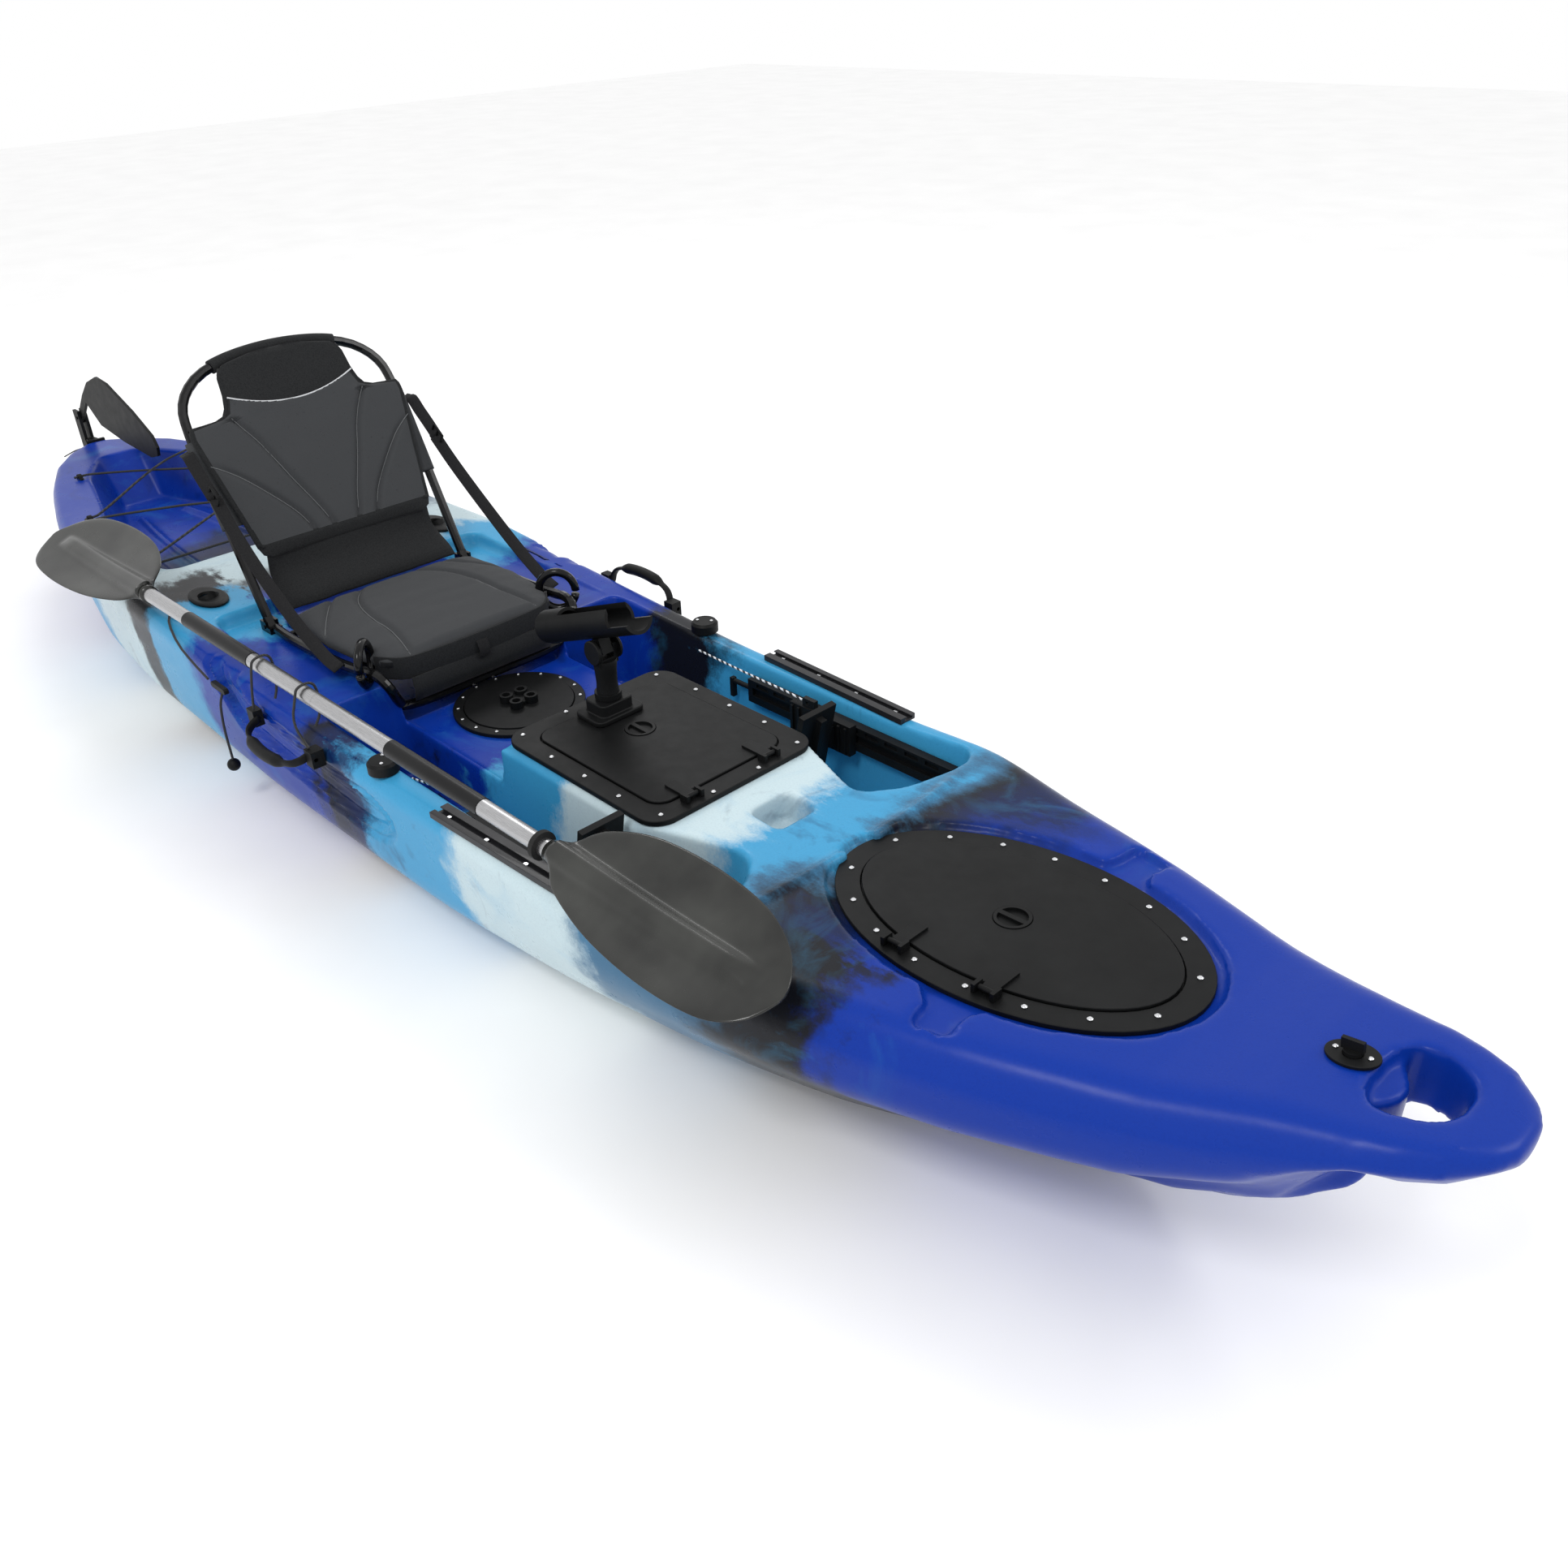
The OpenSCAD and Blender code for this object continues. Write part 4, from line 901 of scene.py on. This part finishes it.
def shell(name, rows, half_width, front, back, columns=110):
    """Closed form between a front and a back surface; rows run along the length."""
    verts, faces = [], []
    n = columns + 1
    for side, surface in ((0, front), (1, back)):
        for v in rows:
            w = half_width(v)
            for k in range(n):
                s = sin((k / columns - 0.5) * pi * 0.96) / sin(0.48 * pi)
                verts.append(surface(w * s, v, s))
    size = n * len(rows)
    for r in range(len(rows) - 1):
        for k in range(columns):
            a = r * n + k
            faces.append((a, a + 1, a + n + 1, a + n))
            faces.append((size + a, size + a + n, size + a + n + 1, size + a + 1))
        for a in (r * n, r * n + columns):
            faces.append((a, a + n, size + a + n, size + a))
    for a in range(columns):
        b = (len(rows) - 1) * n + a
        faces.append((a, a + 1, size + a + 1, size + a))
        faces.append((b, b + 1, size + b + 1, size + b))
    return new_object(name, verts, faces)


def inflate(obj, frames, pressure, cap):
    """Swells a closed cushion with cloth pressure; no point moves further than cap."""
    before = [v.co.copy() for v in obj.data.vertices]
    cloth = modifier(obj, "CLOTH")
    settings = cloth.settings
    settings.use_pressure = True
    settings.uniform_pressure_force = pressure
    settings.effector_weights.gravity = 0
    settings.quality = 4
    settings.tension_stiffness = 40
    cloth.collision_settings.use_collision = False
    scene = bpy.context.scene
    for f in range(1, frames + 1):
        scene.frame_set(f)
    bake(obj)
    scene.frame_set(1)
    for v, p in zip(obj.data.vertices, before):
        d = v.co - p
        if d.length > cap:
            v.co = p + d * (cap / d.length)


# Half width of the back pad against height along the backrest, and one half's sewn lines (millimetres).
PAD_WIDTH = [
    (126, 176), (134, 194), (150, 200), (200, 207), (300, 224), (385, 238), (402, 236), (410, 170),
    (418, 152), (440, 143), (500, 136), (515, 120), (526, 60), (530, 20),
]
BACK_SEAMS = ([(-148, 408), (-112, 350), (-78, 270), (-50, 210), (-28, 150)],
              [(-228, 330), (-185, 300), (-128, 240), (-90, 190), (-72, 150)])
BACK_TUBE = [(0, -235, 18), (0, -235, 200), (0, -235, 400), (0, -222, 470), (0, -150, 522), (0, 0, 540),
             (0, 150, 522), (0, 222, 470), (0, 235, 400), (0, 235, 200), (0, 235, 18)]
HEAD_EDGE = ((0.232, 0.404), (0.205, 0.405), (0.178, 0.407), (0.158, 0.414), (0.147, 0.430), (0.140, 0.455),
             (0.136, 0.490), (0.128, 0.508))
PAD_LOW, PAD_HIGH = 0.126, 0.530
BAND_TOP = 0.152


def piping_height(y):
    """Height of the white piping between the grey cloth and the black head panel."""
    return 0.418 + 0.032 * (y / 0.142) ** 2


def stitch(pad, body, lines, place, aim):
    """Light thread laid along each sewn channel, on the cloth's own surface."""
    for line in lines:
        route = []
        for a, b in line:
            hit, point, normal, face = pad.ray_cast(place(a, b), aim)
            if hit:
                route.append(point - aim * 0.0006)
        if len(route) > 3:
            fit(tube("seat_thread", cut_corners(route, 1), 0.0009, 6), body, "grey_fabric", mat=THREAD)


def make_back_pad():
    """Padded sling: fan-shaped sewn channels, black head panel, black lower band."""
    seams = [flat_line(line) for line in BACK_SEAMS]
    seams += [[(-y, z) for y, z in line] for line in seams]
    heights = [*range(126, 404, 3), 405, 407, 409, 411, 414, 418, *range(421, 530, 3), 530]

    def width(v):
        return lookup(v * 1000, PAD_WIDTH) / 1000

    def front(y, z, s):
        end = min(1.0, (z - PAD_LOW) / 0.02, (PAD_HIGH - z) / 0.012)
        edge = max(0.0, 1 - abs(s) ** 6)
        body = 0.0135 * edge * max(0.0, end) ** 0.5
        if z > piping_height(y):
            body *= 0.55
        sink = groove(y, z, seams, 0.0055) if z < piping_height(y) and z > 0.15 else 0.0
        sag = -0.006 * (1 - s * s)
        ripple = 0.0012 * noise.noise(Vector((y * 22, z * 22, 1.7)))
        return on_back(0.021 + body - 0.010 * sink * edge + sag + ripple, y, z)

    def back(y, z, s):
        return on_back(0.0125 - 0.003 * (1 - s * s), y, z)

    pad = shell("seat_back_padding", [z / 1000 for z in heights], width, front, back)
    inflate(pad, 6, 0.6, 0.0025)
    mesh = pad.data
    for mat in (MATS["grey_fabric"], BLACK_CLOTH):
        mesh.materials.append(mat)
    inverse = BACK.inverted()
    for poly in mesh.polygons:
        c = inverse @ poly.center
        black = c.z > piping_height(c.y) or c.z < BAND_TOP or c.x < 0.015 or abs(c.y) > width(c.z) - 0.007
        poly.material_index = 1 if black else 0
    on(pad, "seat_back", "grey_fabric", "seat_back_pad")
    inner = [[(y, z) for y, z in line if 0.156 < z < piping_height(y)] for line in seams]
    stitch(pad, "seat_back", inner, lambda y, z: on_back(0.08, y, z), BACK.to_3x3() @ Vector((-1, 0, 0)))
    edge = [on_back(0.0275, y / 1000, piping_height(y / 1000)) for y in range(-140, 141, 5)]
    fit(tube("seat_back_piping", edge, 0.0016, 8), "seat_back", "grey_fabric", mat=PIPING)
    for s in (1, -1):
        side = [on_back(0.018, s * (width(z / 1000) - 0.002), z / 1000) for z in range(150, 400, 8)]
        top = [on_back(0.018, s * y, z) for y, z in HEAD_EDGE]
        bind(tube("seat_back_binding", side + top, 0.0048, 8), "seat_back")
    head = [BACK @ p for p in cut_corners(mm(BACK_TUBE), 4) if abs(p.y) < 0.137 and p.z > 0.4]
    bind(tube("seat_head_sleeve", head, 0.0138, 16), "seat_back")
    for s in (1, -1):
        route = [BACK @ p for p in curve_points([(0, s * 0.235, z / 1000) for z in range(205, 386, 20)], 0.01)]
        fit(tube("seat_side_sleeve", route, 0.0136, 16), "seat_back", "grey_fabric")
        web = shell("seat_side_web", [z / 1000 for z in range(205, 386, 6)], lambda v: 1.0,
                    lambda a, v, c, s=s: on_back(0.012 + 0.002 * c, s * (0.222 + 0.014 * a), v),
                    lambda a, v, c, s=s: on_back(0.0105, s * (0.222 + 0.014 * a), v), 8)
        fit(web, "seat_back", "grey_fabric")
    low = [on_back(0.022, y / 1000, 0.151) for y in range(-196, 197, 7)]
    bind(tube("seat_back_low_binding", low, 0.0045, 8), "seat_back")


def ribbon(name, points, width, thick, across):
    """Flat webbing along points; across is its width direction."""
    pts = [Vector(p) for p in points]
    across = Vector(across)
    section = ((-1, -0.6), (-0.94, -1), (0.94, -1), (1, -0.6), (1, 0.6), (0.94, 1), (-0.94, 1), (-1, 0.6))
    rings = []
    for i, p in enumerate(pts):
        t = (pts[min(i + 1, len(pts) - 1)] - pts[max(i - 1, 0)]).normalized()
        a = (across - t * across.dot(t)).normalized()
        b = t.cross(a)
        rings.append([p + a * (width / 2) * u + b * (thick / 2) * v for u, v in section])
    return loft(name, rings)


def make_lumbar_panel():
    """Black cloth from the backrest's lower band to the cushion's rear edge."""
    top = on_back(0.018, 0, 0.140)
    path = curve_points([top, (top.x + 0.006, 0, top.z - 0.05), (-0.398, 0, 0.352), (-0.384, 0, 0.332)], 0.006)
    rings = []
    for i, p in enumerate(path):
        k = i / (len(path) - 1)
        half = 0.188 + 0.014 * k
        bulge = 0.012 * sin(pi * k)
        ring = []
        for side in (1, -1):
            for c in range(25):
                u = (c / 12 - 1) * side
                x = p.x + bulge * (1 - u * u) + 0.0022 * side
                ring.append(Vector((x, u * half, p.z + 0.002 * noise.noise(Vector((u * 4, k * 3, 0))))))
        rings.append(ring)
    panel = loft("seat_lumbar_panel", rings)
    dress(panel, BLACK_CLOTH)
    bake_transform(panel)


# Half width of the cushion against length, and its port half's sewn lines (millimetres).
CUSHION_WIDTH = [
    (-345, 205), (-330, 212), (-250, 218), (-180, 222), (-100, 214), (-40, 200), (-15, 190), (2, 168),
    (10, 154), (12, 150),
]
CUSHION_SEAMS = ([(-330, -60), (-270, -100), (-190, -122), (-90, -128), (2, -146)],
                 [(-338, -120), (-300, -150), (-240, -190), (-200, -215)])
CUSHION_REAR, CUSHION_FRONT = -0.345, 0.012
CUSHION_SIDE_TOP = 0.333


def make_cushion():
    """Crowned cushion with four sewn channels."""
    seams = [flat_line(line) for line in CUSHION_SEAMS]
    seams += [[(x, -y) for x, y in line] for line in seams]
    stations = [-345, -343, -340, -336, *range(-332, 6, 4), 6, 8, 10, 12]

    def width(v):
        return lookup(v * 1000, CUSHION_WIDTH) / 1000

    def rise(v):
        return clamp((v - CUSHION_REAR) / 0.03, (CUSHION_FRONT - v) / 0.012) ** 0.5

    def top(y, x, s):
        edge = max(0.0, 1 - abs(s) ** 5) ** 0.6
        sink = groove(x, y, seams, 0.006)
        wrinkle = 0.0016 * noise.noise(Vector((x * 30, y * 12, 4.0)))
        arch = 0.75 + 0.25 * sin(pi * (x - CUSHION_REAR) / (CUSHION_FRONT - CUSHION_REAR))
        return Vector((x, y, 0.334 + 0.028 * edge * rise(x) * arch - 0.010 * sink * edge + wrinkle))

    def bottom(y, x, s):
        return Vector((x, y, 0.3235))

    pad = shell("seat_cushion_padding", [x / 1000 for x in stations], width, top, bottom)
    inflate(pad, 8, 1.0, 0.004)
    pad.data.materials.append(MATS["grey_fabric"])
    pad.data.materials.append(BLACK_CLOTH)
    for poly in pad.data.polygons:
        poly.material_index = 1 if poly.center.z < CUSHION_SIDE_TOP and poly.center.x > -0.03 else 0
    on(pad, "root", "grey_fabric", "seat_cushion")
    stitch(pad, "root", seams, lambda x, y: Vector((x, y, 0.45)), Vector((0, 0, -1)))


def make_seat_front():
    """Corner loops, and the black band, skirt and web loop along the front of the seat."""
    for s in (1, -1):
        middle = Vector((-0.032, s * 0.224, 0.340))
        ring = [middle + Vector((0.7, 0.7 * s, 0)) * (0.038 * cos(t * pi / 16))
                + Vector((0, 0, 0.040 * sin(t * pi / 16))) for t in range(32)]
        fit(tube("seat_corner_loop", ring, 0.0085, 14, True), "root", "seat_tube")
    band = curve_points([(-0.04, -0.201, 0.330), (0.002, -0.168, 0.329), (0.014, -0.12, 0.328),
                         (0.0165, 0, 0.327), (0.014, 0.12, 0.328), (0.002, 0.168, 0.329),
                         (-0.04, 0.201, 0.330)], 0.008)
    band = [p - Vector((0, 0, 0.009)) for p in band]
    bind(ribbon("seat_front_band", band, 0.046, 0.003, (0, 0, 1)), "root")
    skirt = [[Vector((x, y / 100, z)) for y in range(-16, 17, 2)]
             + [Vector((back_x, y / 100, back_z)) for y in range(16, -17, -2)]
             for x, z, back_x, back_z in ((0.0165, 0.302, 0.018, 0.300), (0.021, 0.276, 0.0225, 0.276),
                                          (0.015, 0.252, 0.0165, 0.252))]
    bind(loft("seat_front_skirt", skirt), "root")
    loop = curve_points([(0.019, 0, 0.326), (0.026, 0, 0.310), (0.024, 0, 0.292), (0.010, 0, 0.288)], 0.004)
    fit(ribbon("seat_web_loop", loop, 0.024, 0.002, (0, 1, 0)), "root", "black_webbing")


def buckle(name, place, turn):
    """Ladder-lock buckle: a frame with two cross bars."""
    wide, tall = 0.017, 0.019
    bars = (((-wide, -tall), (wide, -tall), 0.003), ((-wide, tall), (wide, tall), 0.003),
            ((-wide, -tall), (-wide, tall), 0.0028), ((wide, -tall), (wide, tall), 0.0028),
            ((0.0, -tall), (0.0, tall), 0.0026))
    parts = [tube(name, [turn @ Vector((x, 0, z)) + place for x, z in (a, b)], r, 8) for a, b, r in bars]
    for other in parts[1:]:
        apply(parts[0], "BOOLEAN", operation="UNION", solver="EXACT", object=other)
        bpy.data.objects.remove(other)
    return parts[0]


def follow_fold(obj, slot_name):
    """Gives a strap piece its slot's material and bakes its placement into its mesh."""
    dress(obj, MATS[slot_name])
    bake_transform(obj)


def make_straps():
    """A webbing strap with its buckle from the backrest to the seat on each side."""
    names = ["seat_straps", "strap_buckles"]
    for s in (1, -1):
        wrap = [BACK @ Vector(p) for p in ((-0.010, s * 0.2515, 0.372), (0.002, s * 0.2535, 0.366))]
        high = wrap + [(-0.553, s * 0.256, 0.634), (-0.53, s * 0.2565, 0.613), (-0.50, s * 0.257, 0.588),
                       (-0.476, s * 0.257, 0.567)]
        low = [(-0.476, s * 0.254, 0.566), (-0.42, s * 0.257, 0.515), (-0.33, s * 0.259, 0.448),
               (-0.22, s * 0.258, 0.378), (-0.13, s * 0.255, 0.334), (-0.085, s * 0.252, 0.322)]
        for route in (high, low):
            web = ribbon("seat_strap", curve_points(route, 0.008), 0.025, 0.0022, (0.35, 1, 0.35))
            follow_fold(web, "black_webbing")
            if names:
                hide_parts(names.pop(0))
        turn = Matrix.Rotation(radians(38), 3, "Y")
        follow_fold(buckle("strap_lock", Vector((-0.476, s * 0.257, 0.566)), turn), "black_plastic")


# ---- Paddle --------------------------------------------------------------

PADDLE = (Matrix.Translation((1.204, -0.346, 0.340)) @ Matrix.Rotation(radians(182.02), 4, "Z")
          @ Matrix.Rotation(radians(-1.66), 4, "Y"))
PADDLE_LENGTH = 2.210
# Edges of a blade against length from its tip (millimetres).
BLADE_LOW = [
    (0, -6), (8, -26), (42, -62), (110, -92), (220, -104), (330, -96), (405, -66), (432, -34), (444, -18),
]
BLADE_HIGH = [(0, 6), (10, 34), (32, 62), (80, 84), (180, 90), (300, 78), (400, 50), (432, 28), (444, 18)]

BLADE_END = 446


def make_blade(name, place, body, node):
    """Spooned asymmetric blade with a raised spine that fades towards the tip."""
    roll = Matrix.Rotation(radians(-22), 4, "X")

    def edge(table, x):
        pts = curve_points([(a, b, 0) for a, b in table], 12)
        return lookup(x, [(p.x, p.y) for p in pts])

    rings = []
    count = 46
    for i in range(count + 1):
        x = BLADE_END * (0.5 - 0.5 * cos(pi * i / count))
        low, high = edge(BLADE_LOW, x), edge(BLADE_HIGH, x)
        spine = 9 * clamp((x - 52) / 40) ** 0.6 + 8 * max(0.0, (x - 90) / (BLADE_END - 90))
        wide = 17 + 4 * x / 440
        upper, lower = [], []
        for k in range(57):
            u = k / 56
            y = low + (high - low) * u
            spoon = 14 * (y / 100) ** 2 - 9 * sin(pi * x / BLADE_END) + 3
            ridge_z = spine * exp(-(y / wide) ** 4)
            rim = 2.6 * (1 - (2 * u - 1) ** 10) + 0.3
            upper.append(Vector((x, y, spoon + ridge_z + rim)))
            lower.append(Vector((x, y, spoon - 0.55 * ridge_z - rim)))
        rings.append([place @ (roll @ (v / 1000)) for v in upper + lower[::-1]])
    blade = loft(name, rings)
    if place.determinant() < 0:
        blade.data.flip_normals()
    fit(blade, body, "blade_plastic", node)
    neck = [place @ Vector((x / 1000, 0, 0)) for x in (395, 410, 425, 440, 450, 461.5)]
    sizes = [0.010, 0.0145, 0.0172, 0.018, 0.018, 0.0178]
    fit(tube(name + "_socket", neck, lambda t: sizes[round(t * 5)], 28), body, "blade_plastic")


def make_paddle():
    """Blades, shaft grips and drip cup; the shafts themselves are the CAD parts."""
    make_blade("paddle_near_blade", PADDLE, "paddle_fore", "paddle_blade_fore")
    far = PADDLE @ Matrix.Translation((PADDLE_LENGTH, 0, 0)) @ Matrix.Scale(-1, 4, (1, 0, 0))
    make_blade("paddle_far_blade", far, "paddle_aft", "paddle_blade_aft")
    for a, b, body in ((0.626, 0.876, "paddle_fore"), (1.331, 1.581, "paddle_aft")):
        pts = [PADDLE @ Vector((a - 0.0005 + (b - a + 0.001) * k / 12, 0, 0)) for k in range(13)]
        grip = tube("paddle_grip", pts, 0.0156, 32)
        shade(grip, 40)
        fit(grip, body, "black_plastic", mat=SLEEVE)
    cup = show(bpy.data.objects.new("paddle_drip_cup", bpy.data.objects["paddle_drip_ring"].data.copy()))
    apply(cup, "BEVEL", width=0.002, segments=3, limit_method="ANGLE", angle_limit=radians(40))
    shade(cup, 50)
    fit(cup, "paddle_fore", "seal_rubber", "paddle_drip_ring")


make_toggle_cord()
dress_cad()
make_hull()
soften_parts()
make_carry_handles()
make_brace_ribs()
make_rod_flanges()
make_rod_stand()
make_back_pad()
make_lumbar_panel()
make_cushion()
make_seat_front()
make_straps()
make_paddle()


# ---- Floor and light ----------------------------------------------------

LAMPS = (("key", (1.5, -3.0, 4.5), 75), ("fill", (3.5, 2.5, 3.5), 30), ("rim", (-3.0, 2.0, 4.0), 30))
LAMP_SIZE = 1.2
LAMP_AIM = Vector((0.2, 0, 0.2))
FLOOR = 14


def make_stage():
    """Pale floor, white surroundings and three soft lamps."""
    corners = [(x * FLOOR, y * FLOOR, 0) for x, y in ((-1, -1), (1, -1), (1, 1), (-1, 1))]
    floor = new_object("floor", corners, [(0, 1, 2, 3)], False)
    m = Nodes("pale_floor")
    pale = m.ramp(m.noise(3, 3), [(0.3, (0.93, 0.93, 0.93)), (0.7, (0.97, 0.97, 0.97))])
    m.link(pale, m.shader.inputs["Base Color"])
    m.set(Roughness=0.85)
    dress(floor, m.mat)
    world = bpy.data.worlds.new("world")
    world.use_nodes = True
    background = world.node_tree.nodes["Background"]
    background.inputs[0].default_value = (1.0, 1.0, 1.0, 1)
    background.inputs[1].default_value = 1.0
    bpy.context.scene.world = world
    for name, place, power in LAMPS:
        light = bpy.data.lights.new(name, "AREA")
        light.size = LAMP_SIZE
        light.energy = power
        obj = show(bpy.data.objects.new(name, light))
        obj.location = place
        obj.rotation_euler = (LAMP_AIM - Vector(place)).to_track_quat("-Z", "Y").to_euler()
    bpy.context.scene.view_settings.view_transform = "Standard"


make_stage()
